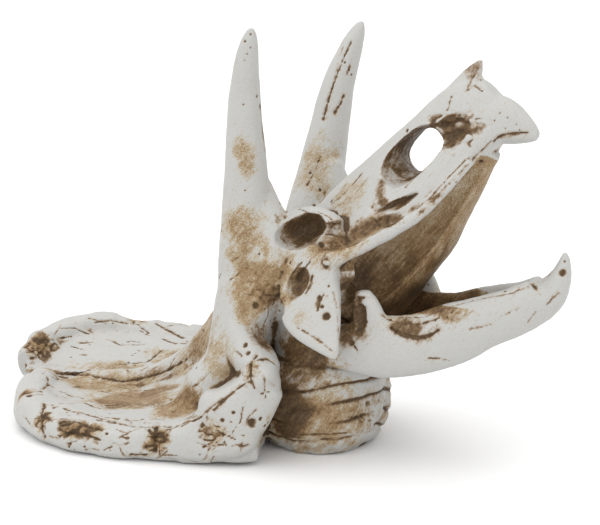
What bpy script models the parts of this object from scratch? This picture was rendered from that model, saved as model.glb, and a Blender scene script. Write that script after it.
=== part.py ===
"""A cast-resin ornament: the skull of a horned dinosaur, jaws open, resting on its frill.

All sizes are in millimetres, turned into metres by MM. +X points along the skull to the
beak, +Y to the animal's left and +Z up. The origin is the middle of the flat underside of
the neck stump, which the ornament stands on. The whole skull is built up from lofted
forms, fused, hollowed by cutters, and then parted by thin cuts into its named parts.
"""

import math

import bmesh
import bpy
from mathutils import Matrix, Vector

MM = 0.001
GAP = 0.3  # width of the cut between two named parts
VOXEL = 1.3  # grid of the fused casting
TRIANGLES = 6100  # of the fused casting before it is parted

# The straight bridge of the nose: where it leaves the brow, and how steeply it climbs.
BRIDGE_FOOT = Vector((3.0, 0.0, 99.0))
BRIDGE_PITCH = math.radians(42.0)

HORN_TIP_HEIGHT = 166.0
HORN_TIP_SPREAD = 99.0
STUMP_LENGTH = 50.0
STUMP_WIDTH = 54.0
STUMP_TOP = 36.0
KNOBS_PER_LOBE = 6.5  # bony knobs along the rolled rim of each frill lobe
KNOB_SWELL = 0.16
WEB_FOOT = 2.0  # the frill's underside inside its rim, held clear of the ground

NOSE_WAY = Vector((math.cos(BRIDGE_PITCH), 0.0, math.sin(BRIDGE_PITCH)))
NOSE_UP = Vector((-math.sin(BRIDGE_PITCH), 0.0, math.cos(BRIDGE_PITCH)))
ACROSS = Vector((0.0, 1.0, 0.0))
UP = Vector((0.0, 0.0, 1.0))
BACK = Vector((-1.0, 0.0, 0.0))


# ---------------------------------------------------------------- scene and meshes
def clear_scene():
    """Empties the scene, so that the file gives the same result wherever it runs."""
    for found in list(bpy.data.objects):
        bpy.data.objects.remove(found, do_unlink=True)


def object_from(bm, name):
    """A new object in the scene, made from bm with its faces pointing out."""
    bmesh.ops.recalc_face_normals(bm, faces=bm.faces)
    mesh = bpy.data.meshes.new(name)
    bm.to_mesh(mesh)
    bm.free()
    made = bpy.data.objects.new(name, mesh)
    bpy.context.scene.collection.objects.link(made)
    return made


def smooth_row(rows, at):
    """The row at a fractional index, on a Catmull-Rom curve through the given rows."""
    last = len(rows) - 1
    index = min(int(at), last - 1)
    t = at - index
    before = rows[max(index - 1, 0)]
    first, second = rows[index], rows[index + 1]
    after = rows[min(index + 2, last)]
    weights = (
        0.5 * (-t + 2 * t * t - t**3),
        0.5 * (2 - 5 * t * t + 3 * t**3),
        0.5 * (t + 4 * t * t - 3 * t**3),
        0.5 * (-t * t + t**3),
    )
    values = zip(before, first, second, after)
    return [sum(w * v for w, v in zip(weights, column)) for column in values]


def squarer(value, power):
    """The sine or cosine of a superellipse: power 1 is round, less is boxier."""
    return math.copysign(abs(value) ** power, value)


def ring(centre, side, up, half_width, half_height, around, taper=0.0, power=1.0):
    """Points of an oval whose width grows towards its foot as taper rises above 0."""
    points = []
    for step in range(around):
        angle = 2 * math.pi * (step + 0.5) / around
        lift = squarer(math.sin(angle), power)
        width = half_width * squarer(math.cos(angle), power) * (1 - taper * lift)
        points.append(centre + side * width + up * half_height * lift)
    return points


def skin_rings(rings, name):
    """Joins rings of points into one closed solid with flat ends."""
    bm = bmesh.new()
    loops = [[bm.verts.new(point * MM) for point in points] for points in rings]
    around = len(loops[0])
    for lower, upper in zip(loops, loops[1:]):
        for i in range(around):
            j = (i + 1) % around
            bm.faces.new((lower[i], lower[j], upper[j], upper[i]))
    bm.faces.new(loops[0])
    bm.faces.new(loops[-1])
    return object_from(bm, name)


def path_solid(name, rows, steps=4, around=20, up=UP):
    """A solid along a path. A row is x, y, z, half width and half height of one station.

    Width is measured across the path and level, height square to both."""
    count = (len(rows) - 1) * steps + 1
    stations = [smooth_row(rows, i / steps) for i in range(count)]
    centres = [Vector(row[:3]) for row in stations]
    rings = []
    for i, row in enumerate(stations):
        way = centres[min(i + 1, count - 1)] - centres[max(i - 1, 0)]
        side = up.cross(way).normalized()
        lift = way.cross(side).normalized()
        rings.append(ring(centres[i], side, lift, max(row[3], 0.3), max(row[4], 0.3), around))
    return skin_rings(rings, name)


def upright(name, rows):
    """A solid along a rising path, whose half width is across and half height fore and aft."""
    return path_solid(name, rows, up=BACK)


def mirrored(rows):
    """The same rows on the animal's other side."""
    return [(row[0], -row[1]) + tuple(row[2:]) for row in rows]


def bridge_point(along, below):
    """The point so far along the nose bridge, and so far under it."""
    return BRIDGE_FOOT + NOSE_WAY * along - NOSE_UP * below


# ---------------------------------------------------------------- forms of the skull
def face():
    """Brow to beak: a wedge with a narrow bridge on top and the wide jaw edge below."""
    # along the bridge, top and foot below it, half width at the top and at the foot
    stations = [
        (-22, 6, 44, 20, 33),
        (-8, 2, 38, 17, 34),
        (6, 0, 34, 13, 33),
        (20, 0, 34.5, 11, 31),
        (32, 0, 35.5, 10, 28),
        (45, 0, 34.5, 9, 23.5),
        (57, 0, 31.5, 8, 18),
        (67, 0.5, 29.5, 7.5, 12.5),
        (74, 3, 31, 6.5, 9),
        (79, 8, 33, 4.5, 6),
    ]
    steps = 4
    rings = []
    for i in range((len(stations) - 1) * steps + 1):
        along, top, foot, half_top, half_foot = smooth_row(stations, i / steps)
        half_width = (half_top + half_foot) / 2
        taper = (half_foot - half_top) / (half_foot + half_top)
        middle = bridge_point(along, (top + foot) / 2)
        half_height = (foot - top) / 2
        rings.append(ring(middle, ACROSS, NOSE_UP, half_width, half_height, 32, taper, 0.62))
    return skin_rings(rings, "face_form")


def beak():
    """The hooked upper beak at the end of the face."""
    rows = [
        (64, 0, 130, 9.5, 11),
        (72, 0, 131.5, 8.5, 9.5),
        (79, 0, 129.5, 6.3, 7.2),
        (84.5, 0, 127.4, 3.8, 4.2),
        (87.8, 0, 126, 1.6, 1.6),
    ]
    return path_solid("beak_form", rows)


def nose_horn():
    """The short horn that ends the nose bridge."""
    rows = [
        (52, 0, 134.5, 5, 5.6),
        (58, 0, 141.5, 4.4, 5.6),
        (62, 0, 148.5, 2.8, 3.8),
        (65.3, 0, 154, 0.9, 1),
    ]
    return path_solid("nose_horn_form", rows)


def brow_horn_rows(left):
    """One brow horn of the left side: upright, leaning out, a little forward at the tip.

    The left horn is a touch shorter and further back than the right one."""
    spread = HORN_TIP_SPREAD / 2
    rows = [
        (-27, 13, 40, 13, 11),
        (-21.5, 21, 56, 13, 12.5),
        (-18, 28, 76, 11, 11.4),
        (-15.5, 33, 98, 8.8, 9.4),
        (-13.3, 38, 121, 7, 7.6),
        (-11.3, 42, 139, 5.9, 6.2),
        (-8.3, 45.8, 152, 4.7, 4.7),
        (-5.6, 48.3, 161, 3.2, 3.2),
        (-4, spread, HORN_TIP_HEIGHT, 1.1, 1.1),
    ]
    if not left:
        return mirrored(rows)
    shorter, back, stouter = 0.976, 2.5, 1.1
    return [
        (x - back, y, 62 + (z - 62) * shorter, w * stouter, h * stouter)
        for x, y, z, w, h in rows
    ]


def braincase():
    """The wide middle of the skull, which carries the horns, eyes and cheeks."""
    rows = [
        (-37, 0, 53, 15, 7),
        (-29, 0, 60, 25, 15),
        (-16, 0, 67, 31, 22),
        (0, 0, 70, 33, 24),
        (14, 0, 74, 33, 20),
        (26, 0, 79, 30, 13),
    ]
    return path_solid("braincase_form", rows, around=28)


def nape():
    """The slope from the crown down to the long ridge in the middle of the frill."""
    rows = [
        (-20, 0, 61, 27, 16),
        (-34, 0, 45.5, 20, 12.5),
        (-45, 0, 34.5, 13, 11),
        (-56, 0, 24, 9, 10),
        (-74, 0, 12.5, 8, 9.5),
        (-98, 0, 8, 7, 8.5),
        (-122, 0, 7, 6, 7),
        (-136, 0, 6, 4, 4),
    ]
    return path_solid("nape_form", rows)


def palate_keel():
    """The plate of bone down the middle of the palate, which runs on into the throat."""
    rows = [
        (69, 0, 122, 5, 6),
        (64, 0, 117, 6, 7.5),
        (57.5, 0, 107, 7, 9),
        (51.5, 0, 98.5, 8, 10),
        (45, 0, 87.5, 9, 11),
        (39, 0, 78, 11, 9),
        (30, 0, 66, 16, 10),
        (20, 0, 56, 20, 12),
    ]
    return path_solid("palate_keel_form", rows)


def brow_rows():
    """The animal's left brow: the rounded rim of bone that carries the eye socket."""
    return [
        (-14, 24, 79, 10, 11),
        (-4, 27, 82, 9, 11),
        (8, 27, 87.5, 8.5, 11),
        (15.5, 26.5, 88.5, 7.5, 9.5),
        (21, 25, 89, 5, 6),
    ]


def cheek_rows():
    """The animal's left cheek: a flat triangle that hangs below the eye."""
    return [
        (15, 30, 84, 6, 10),
        (16, 34.5, 72, 5.5, 11),
        (18, 38, 60, 4.2, 11),
        (20.5, 41, 51, 3.2, 7.5),
        (23.5, 42.5, 45.5, 1.6, 2),
    ]


def throat():
    """The closed back of the mouth, which joins the skull to the neck stump."""
    rows = [
        (2, 0, 20, 22, 20),
        (3, 0, 38, 24, 21),
        (4, 0, 52, 26, 22),
        (6, 0, 70, 24, 20),
    ]
    return upright("throat_form", rows)


def jaw_rows():
    """The left half of the lower jaw, from its hinge to the base of its beak."""
    return [
        (14, 24, 44, 5, 7),
        (24, 25.5, 46, 5.2, 9.5),
        (36, 24.5, 47, 5.2, 12),
        (50, 20.5, 49, 5.2, 11.8),
        (62, 16.5, 53.2, 5.4, 11.8),
        (73, 12.8, 58, 5.4, 10.2),
        (82, 8.5, 61.5, 5.4, 9.4),
        (90, 3.5, 66, 5, 8.8),
    ]


def jaw_beak():
    """The upturned beak of the lower jaw."""
    rows = [
        (80, 0, 61, 10.5, 8.5),
        (88, 0, 64.5, 8.5, 8.2),
        (94.2, 0, 69.5, 6.4, 6.6),
        (97.7, 0, 76, 4.4, 4),
        (98.9, 0, 81.5, 2.6, 2.3),
        (98.6, 0, 84.8, 1, 0.9),
    ]
    return path_solid("jaw_beak_form", rows, steps=5)


def jaw_floor():
    """The floor of the mouth between the two halves of the jaw."""
    rows = [
        (8, 0, 44, 22, 6),
        (30, 0, 43, 23, 5),
        (52, 0, 44, 19, 4.5),
        (72, 0, 52, 12, 4.5),
        (86, 0, 59, 6, 4.5),
    ]
    return path_solid("jaw_floor_form", rows)


def coronoid_rows():
    """The left tongue of bone that rises behind the tooth row."""
    return [
        (36, 25, 46, 4, 11),
        (33, 26, 56, 3.6, 7.4),
        (31, 27, 64, 3.2, 5.4),
        (30, 27.5, 69, 2, 3.2),
    ]


def stump():
    """The neck stump: a layered block with a flat foot, drawn in at the front."""
    length, width = STUMP_LENGTH / 2, STUMP_WIDTH / 2
    levels = [
        (-1.5, 0.68, 0.60, -1.0),
        (2.5, 0.86, 0.82, -0.5),
        (7.0, 0.97, 0.95, 0.0),
        (14.0, 1.0, 1.0, 0.5),
        (24.0, 0.97, 1.0, 0.5),
        (STUMP_TOP, 1.0, 0.97, 2.0),
    ]
    rings = []
    for height, long_share, wide_share, shift in levels:
        centre = Vector((shift, 0.0, height))
        sizes = (width * wide_share, length * long_share)
        rings.append(ring(centre, ACROSS, BACK, sizes[0], sizes[1], 32, 0.0, 0.8))
    return skin_rings(rings, "stump_form")


def rim_rows(left):
    """The rolled rim of one frill lobe, from the cheek round to the notch at the rear.

    The left lobe lies a little higher and runs further back than the right one."""
    if left:
        return [
            (-14, 31, 60, 5, 6),
            (-8, 37, 48, 6, 7),
            (-5, 41, 34, 8, 9),
            (-15, 46, 20, 9, 15),
            (-32, 52, 14, 9, 13.5),
            (-60, 55, 13, 9, 12.5),
            (-92, 55, 14, 9, 11.5),
            (-115, 52, 15, 9, 11),
            (-135, 44.5, 17, 8.5, 11.5),
            (-147, 31, 17, 8, 10),
            (-149.5, 17, 14, 7.5, 8.5),
            (-148, 7, 12, 6, 7),
        ]
    return [
        (-14, -31, 60, 5, 6),
        (-8, -37, 48, 6, 7),
        (-5, -41, 34, 8, 9),
        (-15, -46, 19, 9, 15),
        (-30, -49, 10, 9, 10.5),
        (-55, -54, 7.5, 9.5, 8),
        (-76, -54.5, 8, 10, 8),
        (-94, -50, 8, 10, 7.5),
        (-107.5, -42, 9, 9, 8),
        (-118, -30.5, 10, 8, 7.5),
        (-124.5, -18, 11, 7.5, 7),
        (-129.5, -7, 11, 6, 6),
    ]


def knobbly(rows, steps):
    """The rim rows at close steps, swelling and narrowing from one bony knob to the next."""
    count = (len(rows) - 1) * steps
    closer = []
    for i in range(count + 1):
        x, y, z, half_width, half_height = smooth_row(rows, i / steps)
        along = i / count
        wave = abs(math.sin(math.pi * KNOBS_PER_LOBE * along)) - 0.6
        swell = 1 + KNOB_SWELL * wave * min(3 * along, 1)
        closer.append((x, y, z, half_width * swell, half_height * swell))
    return closer


def ridge_height(x):
    """How high the middle of the sheet lies under the long ridge."""
    line = [(-22, 62), (-45, 44), (-56, 32), (-66, 23), (-80, 16), (-100, 13), (-150, 9)]
    for (front, high), (rear, low) in zip(line, line[1:]):
        if x >= rear:
            share = min(max((front - x) / (front - rear), 0.0), 1.0)
            return high + (low - high) * share
    return line[-1][1]


def frill_web(left):
    """The dished body of one lobe, from the ridge in the middle out to the rolled rim."""
    rim = rim_rows(left)[2:]
    steps, spans = 4, 8
    side = 1 if left else -1
    rings = []
    for i in range((len(rim) - 1) * steps + 1):
        x, y, z, half_width, half_height = smooth_row(rim, i / steps)
        inner_x = x * 0.82 - 18 if x > -90 else x * 0.93 - 8
        inner = Vector((inner_x, -2.0 * side, ridge_height(inner_x)))
        outer = Vector((x, y, z + half_height * 0.45))
        sag = 2.0 + 0.22 * max(inner.z - outer.z, 0.0)
        top = []
        for k in range(spans + 1):
            point = inner.lerp(outer, k / spans)
            point.z -= sag * math.sin(math.pi * k / spans)
            top.append(point)
        foot = [Vector((p.x, p.y, WEB_FOOT)) for p in top]
        rings.append(top + foot[::-1])
    return skin_rings(rings, "web_form")


# ---------------------------------------------------------------- fusing and hollowing
def joined(forms, name):
    """One object that holds the meshes of all the given forms."""
    bm = bmesh.new()
    for form in forms:
        bm.from_mesh(form.data)
        bpy.data.objects.remove(form, do_unlink=True)
    mesh = bpy.data.meshes.new(name)
    bm.to_mesh(mesh)
    bm.free()
    made = bpy.data.objects.new(name, mesh)
    bpy.context.scene.collection.objects.link(made)
    return made


def apply_modifiers(obj):
    """Turns the object's modifiers into plain mesh."""
    graph = bpy.context.evaluated_depsgraph_get()
    mesh = bpy.data.meshes.new_from_object(obj.evaluated_get(graph))
    obj.modifiers.clear()
    obj.data = mesh
    return obj


def fuse(obj, voxel):
    """Makes overlapping closed forms one closed body with softened joins."""
    remesh = obj.modifiers.new("fuse", "REMESH")
    remesh.mode = "VOXEL"
    remesh.voxel_size = voxel * MM
    relax = obj.modifiers.new("soften", "SMOOTH")
    relax.factor = 0.5
    relax.iterations = 4
    return apply_modifiers(obj)


def whole_casting():
    """All the forms of the ornament as one closed body."""
    forms = [face(), beak(), nose_horn(), braincase(), nape(), throat(), palate_keel()]
    forms += [stump(), jaw_floor(), jaw_beak()]
    for side in (1, -1):
        mirror = (lambda rows: rows) if side > 0 else mirrored
        forms.append(upright("brow_horn_form", brow_horn_rows(side > 0)))
        forms.append(path_solid("brow_form", mirror(brow_rows())))
        forms.append(upright("cheek_form", mirror(cheek_rows())))
        forms.append(path_solid("jaw_form", mirror(jaw_rows())))
        forms.append(upright("coronoid_form", mirror(coronoid_rows())))
        rim = knobbly(rim_rows(side > 0), 4)
        forms.append(path_solid("rim_form", rim, steps=1, around=16))
        forms.append(frill_web(side > 0))
    return fuse(joined(forms, "casting"), VOXEL)


# ---------------------------------------------------------------- hollows
def oval_cutter(centre, half_sizes, tilt=0.0, turn=0.0):
    """A closed oval body that hollows the casting. Tilt is about Y, turn about Z, in degrees."""
    bm = bmesh.new()
    bmesh.ops.create_uvsphere(bm, u_segments=20, v_segments=12, radius=1.0)
    shape = Matrix.Diagonal((*[size * MM for size in half_sizes], 1.0))
    place = Matrix.Translation(Vector(centre) * MM)
    spin = Matrix.Rotation(math.radians(turn), 4, "Z") @ Matrix.Rotation(math.radians(tilt), 4, "Y")
    bmesh.ops.transform(bm, matrix=place @ spin @ shape, verts=bm.verts)
    return object_from(bm, "oval_cutter")


def both_sides(centre, half_sizes, tilt=0.0, turn=0.0):
    """The same hollow on the animal's left and right."""
    x, y, z = centre
    left = oval_cutter((x, y, z), half_sizes, tilt, turn)
    return [left, oval_cutter((x, -y, z), half_sizes, tilt, -turn)]


def nostril_hole():
    """The large nostril, which goes right through and flares to both sides."""
    # how far to the side, half length, half height, depth under the bridge
    half = [(0, 9.4, 6.4, 12), (7, 11.3, 7, 12), (14, 13.8, 7.8, 12.2), (26, 16, 8.6, 12.4)]
    stations = [(-row[0], *row[1:]) for row in half[:0:-1]] + half
    rings = []
    for across, long, high, below in stations:
        middle = bridge_point(43.2, below) + ACROSS * across
        rings.append(ring(middle, NOSE_WAY, NOSE_UP, long, high, 20, 0.0, 0.8))
    return skin_rings(rings, "nostril_cutter")


def mouth_trough(side):
    """The hollow between the tooth row of one side and the plate down the palate."""
    rows = [
        (66, 11 * side, 111, 3, 4),
        (58, 15 * side, 101, 5, 6),
        (49, 18 * side, 92, 6.5, 8),
        (39, 20 * side, 82, 8, 10),
        (28, 20 * side, 72, 8, 11),
        (22, 20 * side, 66, 6, 8),
    ]
    return path_solid("mouth_cutter", rows)


def frill_crack():
    """The crack that parts the two lobes at the rear of the frill."""
    rows = [
        (-165, 0, 14, 4, 14),
        (-140, 0, 14, 2.4, 10),
        (-122, 0, 14, 1.5, 5),
        (-104, 0, 15, 0.8, 2),
    ]
    return path_solid("crack_cutter", rows, around=12)


def hollows():
    """Every cutter that the casting is hollowed by."""
    cutters = [nostril_hole(), frill_crack()]
    fossa = bridge_point(61, 14.5)
    slot = bridge_point(31.5, 25)
    before_eye = bridge_point(13, 21.5)
    cutters += both_sides((8, 38, 90.5), (10.5, 14, 6.8), tilt=-28)
    cutters += both_sides((fossa.x, 15.5, fossa.z), (12, 5.5, 6), tilt=-40)
    cutters += both_sides((slot.x, 24, slot.z), (8.5, 6, 3.2), tilt=-30)
    cutters += both_sides((before_eye.x, 31, before_eye.z), (12.5, 7, 4.2), tilt=-30)
    cutters += both_sides((7, 38, 72), (4.5, 6, 7.5), tilt=25)
    cutters += both_sides((-1, 36, 60), (7.5, 8, 4.5), tilt=-20)
    cutters += both_sides((30, 37, 58), (4.5, 7, 10), tilt=5)
    for side in (1, -1):
        cutters.append(mouth_trough(side))
    return joined(cutters, "hollow_cutters")


def hollow_out(casting):
    """Takes every hollow out of the casting at once."""
    cutters = hollows()
    cutters.hide_render = True
    cutters.display_type = "WIRE"
    cut = casting.modifiers.new("hollows", "BOOLEAN")
    cut.operation = "DIFFERENCE"
    cut.use_self = True
    cut.object = cutters
    apply_modifiers(casting)
    bpy.data.objects.remove(cutters, do_unlink=True)


def flatten_foot(casting):
    """Sands the underside flat, so that stump and rims stand on one plane."""
    for vert in casting.data.vertices:
        vert.co.z = max(vert.co.z, 0.0)


def thin_out(obj, triangles):
    """Brings the casting down to about so many triangles."""
    decimate = obj.modifiers.new("thin", "DECIMATE")
    obj.data.calc_loop_triangles()
    decimate.ratio = triangles / len(obj.data.loop_triangles)
    decimate.use_collapse_triangulate = True
    return apply_modifiers(obj)


# ---------------------------------------------------------------- parting
def widened(outline, grow):
    """A convex outline with every side moved out by grow."""
    count = len(outline)
    middle = Vector([sum(values) / count for values in zip(*outline)])
    moved = []
    for i in range(count):
        here = Vector(outline[i])
        normals = []
        for start, end in ((outline[i - 1], here), (here, outline[(i + 1) % count])):
            way = Vector(end) - Vector(start)
            normal = Vector((way.y, -way.x)).normalized()
            normals.append(normal if normal.dot(here - middle) > 0 else -normal)
        both = normals[0] + normals[1]
        moved.append(here + both * grow / (1 + normals[0].dot(normals[1])))
    return moved


def side_block(outline, low, high, grow):
    """A block with an outline drawn in the side view (x, z), from y = low to y = high."""
    outline = widened(outline, grow)
    ends = (low - grow, high + grow)
    rings = [[Vector((x, y, z)) for x, z in outline] for y in ends]
    return skin_rings(rings, "block")


def flat_block(outline, low, high, grow):
    """A block with an outline drawn in the top view (x, y), from z = low to z = high."""
    outline = widened(outline, grow)
    ends = (low - grow, high + grow)
    rings = [[Vector((x, y, z)) for x, y in outline] for z in ends]
    return skin_rings(rings, "block")


def copy_of(obj, name):
    """A second object with its own copy of the mesh."""
    made = bpy.data.objects.new(name, obj.data.copy())
    bpy.context.scene.collection.objects.link(made)
    return made


def cut_with(obj, blocks, operation):
    """Keeps or takes away what lies inside the blocks."""
    cutter = joined(blocks, "part_cutter")
    cutter.hide_render = True
    cutter.display_type = "WIRE"
    cut = obj.modifiers.new("part", "BOOLEAN")
    cut.operation = operation
    cut.use_self = len(blocks) > 1
    cut.object = cutter
    apply_modifiers(obj)
    bpy.data.objects.remove(cutter, do_unlink=True)


def keep_main_body(obj):
    """Deletes crumbs that a cut left beside the main body."""
    bm = bmesh.new()
    bm.from_mesh(obj.data)
    unseen = set(bm.verts)
    bodies = []
    while unseen:
        start = unseen.pop()
        body = {start}
        edge = [start]
        while edge:
            for link in edge.pop().link_edges:
                for vert in link.verts:
                    if vert in unseen:
                        unseen.remove(vert)
                        body.add(vert)
                        edge.append(vert)
        bodies.append(body)
    bodies.sort(key=len)
    crumbs = [vert for body in bodies[:-1] for vert in body]
    bmesh.ops.delete(bm, geom=crumbs, context="VERTS")
    bm.to_mesh(obj.data)
    bm.free()


def part_off(casting, name, blocks):
    """Makes what lies inside the blocks a part of its own, a thin cut away from the rest.

    blocks is a function that gives the blocks widened by a number of millimetres."""
    piece = copy_of(casting, name)
    cut_with(piece, blocks(0.0), "INTERSECT")
    cut_with(casting, blocks(GAP), "DIFFERENCE")
    keep_main_body(piece)
    return piece


def brow_horn_blocks(side):
    outline = [(-50, 99), (0, 102), (8, 180), (-50, 180)]
    low, high = sorted((14 * side, 90 * side))
    return lambda grow: [side_block(outline, low, high, grow)]


def cheek_blocks(side):
    outline = [(4, 69), (36, 69), (36, 38), (10, 38)]
    low, high = sorted((31.5 * side, 60 * side))
    return lambda grow: [side_block(outline, low, high, grow)]


def frill_blocks(side):
    """Behind the neck stump, and on beside it as far forward as the cheek."""
    rear = [(-180, GAP / 2 * side), (-27, GAP / 2 * side), (-27, 90 * side), (-180, 90 * side)]
    flank = [(-30, 29.5 * side), (7, 29.5 * side), (7, 90 * side), (-30, 90 * side)]
    return lambda grow: [flat_block(rear, -9, 52, grow), flat_block(flank, -8, 51, grow)]


def jaw_blocks(grow):
    """The jaw in front of the throat, and on each side the tongue of bone behind the teeth."""
    body = [(27, 22), (27, 53), (44, 60), (60, 84), (110, 100), (110, 22)]
    tongue = [(25, 24), (25, 60), (27.5, 71), (36, 71), (46, 60), (46, 24)]
    blocks = [side_block(body, -34, 34, grow)]
    blocks.append(side_block(tongue, 19, 31.2, grow))
    blocks.append(side_block(tongue, -31.2, -19, grow))
    return blocks


def part_casting(casting):
    """Cuts the named parts off the casting, and leaves the middle of the skull."""
    over_brow = bridge_point(18, -12)
    under_brow = bridge_point(18, 55)
    nose = [(40, 147), (72, 143.5), (80, 170), (40, 170)]
    upper_beak = [(65, 160), (70, 112), (110, 112), (110, 160)]
    snout = [over_brow.xz, under_brow.xz, (110, 112), (110, 180), (40, 180)]
    lower_beak = [(85, 30), (85, 100), (120, 100), (120, 30)]
    stump_block = [(-60, -9), (-60, 33.7), (60, 33.7), (60, -9)]
    parts = {}
    for side, word in ((1, "left"), (-1, "right")):
        parts["brow_horn_" + word] = brow_horn_blocks(side)
        parts["cheek_" + word] = cheek_blocks(side)
        parts["frill_" + word] = frill_blocks(side)
    parts["nose_horn"] = lambda grow: [side_block(nose, -30, 30, grow)]
    parts["upper_beak"] = lambda grow: [side_block(upper_beak, -30, 30, grow)]
    parts["snout"] = lambda grow: [side_block(snout, -50, 50, grow)]
    parts["lower_beak"] = lambda grow: [side_block(lower_beak, -30, 30, grow)]
    pieces = [part_off(casting, name, blocks) for name, blocks in parts.items()]
    jaw = part_off(casting, "jaw_right", jaw_blocks)
    left_half = lambda grow: [side_block(snug_box(), GAP / 2, 60, grow)]
    pieces.append(part_off(jaw, "jaw_left", left_half))
    pieces.append(jaw)
    stump_part = lambda grow: [side_block(stump_block, -60, 60, grow)]
    pieces.append(part_off(casting, "neck_stump", stump_part))
    casting.name = "cranium"
    keep_main_body(casting)
    keep_main_body(jaw)
    return pieces + [casting]


def snug_box():
    """A side outline that holds the whole ornament."""
    return [(-200, -20), (-200, 200), (150, 200), (150, -20)]


# ---------------------------------------------------------------- paint
def paint(piece, colour, roughness):
    """Gives the piece a matt paint of its own, and soft shading except at its cut edges."""
    material = bpy.data.materials.new(piece.name + "_paint")
    material.use_nodes = True
    shader = material.node_tree.nodes["Principled BSDF"]
    shader.inputs["Base Color"].default_value = (*colour, 1.0)
    shader.inputs["Roughness"].default_value = roughness
    piece.data.materials.clear()
    piece.data.materials.append(material)
    piece.data.shade_smooth()
    piece.data.set_sharp_from_angle(angle=math.radians(50))


def paint_part(piece):
    """Off-white bone, paler horns and beaks, and a stump darkened by its brown wash."""
    if "horn" in piece.name or "beak" in piece.name:
        paint(piece, (0.79, 0.78, 0.75), 0.5)
    elif piece.name == "neck_stump":
        paint(piece, (0.60, 0.56, 0.50), 0.62)
    else:
        paint(piece, (0.74, 0.72, 0.68), 0.56)


def main():
    clear_scene()
    casting = whole_casting()
    hollow_out(casting)
    flatten_foot(casting)
    thin_out(casting, TRIANGLES)
    flatten_foot(casting)
    for piece in part_casting(casting):
        paint_part(piece)


main()
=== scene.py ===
# %% Load the frame
import math

import bpy
import numpy as np
from mathutils import Matrix


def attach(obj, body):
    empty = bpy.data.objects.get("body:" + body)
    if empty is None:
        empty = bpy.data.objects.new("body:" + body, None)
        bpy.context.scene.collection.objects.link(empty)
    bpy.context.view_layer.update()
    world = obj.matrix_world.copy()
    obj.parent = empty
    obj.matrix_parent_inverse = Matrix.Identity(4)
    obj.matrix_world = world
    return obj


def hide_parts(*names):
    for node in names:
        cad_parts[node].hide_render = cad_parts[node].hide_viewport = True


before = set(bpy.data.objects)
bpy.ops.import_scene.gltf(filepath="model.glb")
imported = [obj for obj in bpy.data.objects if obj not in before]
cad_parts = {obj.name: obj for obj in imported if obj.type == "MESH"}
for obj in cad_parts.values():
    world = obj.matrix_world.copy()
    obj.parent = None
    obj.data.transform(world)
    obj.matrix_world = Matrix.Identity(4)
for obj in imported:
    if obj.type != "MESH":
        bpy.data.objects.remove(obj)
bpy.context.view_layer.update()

MM = 0.001
print("solids:", len(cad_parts))

# %% [markdown]
# The ornament is one fused resin cast: a horned dinosaur's skull with its jaws open. A sculptor
# would build it from lumps of clay along wire, so every form here is a profile carried along a
# path. The path is a smooth curve through a few stations, and each station gives the half width
# and the half height of the oval there. Whole arrays of stations are worked out at once.

# %% Smooth stations and ovals
ACROSS = np.array([0.0, 1.0, 0.0])
UP = np.array([0.0, 0.0, 1.0])
BACK = np.array([-1.0, 0.0, 0.0])


def through(rows, steps):
    """Stations on a Catmull-Rom curve through the rows: a cubic between each two neighbours
    whose slope at a row is half the way from the row before to the row after."""
    rows = np.asarray(rows, float)
    last = len(rows) - 1
    at = np.linspace(0, last, last * steps + 1)
    i = np.minimum(at.astype(int), last - 1)
    t = (at - i)[:, None]
    before, here = rows[np.maximum(i - 1, 0)], rows[i]
    there, after = rows[i + 1], rows[np.minimum(i + 2, last)]
    cubic = 3 * here - before - 3 * there + after
    square = 2 * before - 5 * here + 4 * there - after
    return 0.5 * (2 * here + (there - before) * t + square * t**2 + cubic * t**3)


def unit(vectors):
    """Each vector divided by its own length."""
    return vectors / np.linalg.norm(vectors, axis=-1, keepdims=True)


def ovals(centres, sides, ups, width, height, around=40, taper=0.0, power=1.0):
    """A grid of points: at each centre an oval, side times width times cos plus up times height
    times sin. A power under 1 makes the oval boxier, and taper widens its foot."""
    angle = 2 * np.pi * (np.arange(around) + 0.5) / around
    across = np.sign(np.cos(angle)) * np.abs(np.cos(angle)) ** power
    lift = np.sign(np.sin(angle)) * np.abs(np.sin(angle)) ** power
    wide = np.asarray(width)[:, None] * across * (1 - np.asarray(taper)[..., None] * lift)
    high = np.asarray(height)[:, None] * lift
    return centres[:, None] + sides[:, None] * wide[..., None] + ups[:, None] * high[..., None]


def along_path(rows, steps=6, around=40, up=UP, power=1.0):
    """A form along a path: rows of x, y, z, half width, half height. The width lies level and
    square to the path, the height square to both."""
    stations = through(rows, steps) if steps > 1 else np.asarray(rows, float)
    centres = stations[:, :3]
    way = np.gradient(centres, axis=0)
    sides = unit(np.cross(up, way))
    ups = unit(np.cross(way, sides))
    sizes = np.maximum(stations[:, 3:5], 0.25)
    return ovals(centres, sides, ups, sizes[:, 0], sizes[:, 1], around, power=power)


def upright(rows, **more):
    """A form along a rising path: half width across the skull, half height fore and aft."""
    return along_path(rows, up=BACK, **more)


def level(rows, steps=6, around=40, power=1.0):
    """A form of level ovals: rows of x, y, z, half width across, half length fore and aft."""
    stations = through(rows, steps)
    centres = stations[:, :3]
    sides = np.broadcast_to(ACROSS, centres.shape)
    ups = np.broadcast_to(-BACK, centres.shape)
    return ovals(centres, sides, ups, stations[:, 3], stations[:, 4], around, power=power)


def mirrored(rows):
    """The same rows on the animal's other side."""
    flipped = np.array(rows, float)
    flipped[:, 1] *= -1
    return flipped


print("a test oval grid:", upright([(0, 0, 0, 1, 1), (0, 0, 5, 1, 1)]).shape)

# %% [markdown]
# Two overlapping lumps of clay become one body when their surfaces are blended. Voxel remesh
# does that: it fills both with small cubes and wraps one skin round all of them. Grids of points
# therefore only need to be closed with two end caps, and they may overlap freely. The cutters
# for the holes are fused in the same way, and a Boolean takes them out.

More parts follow.
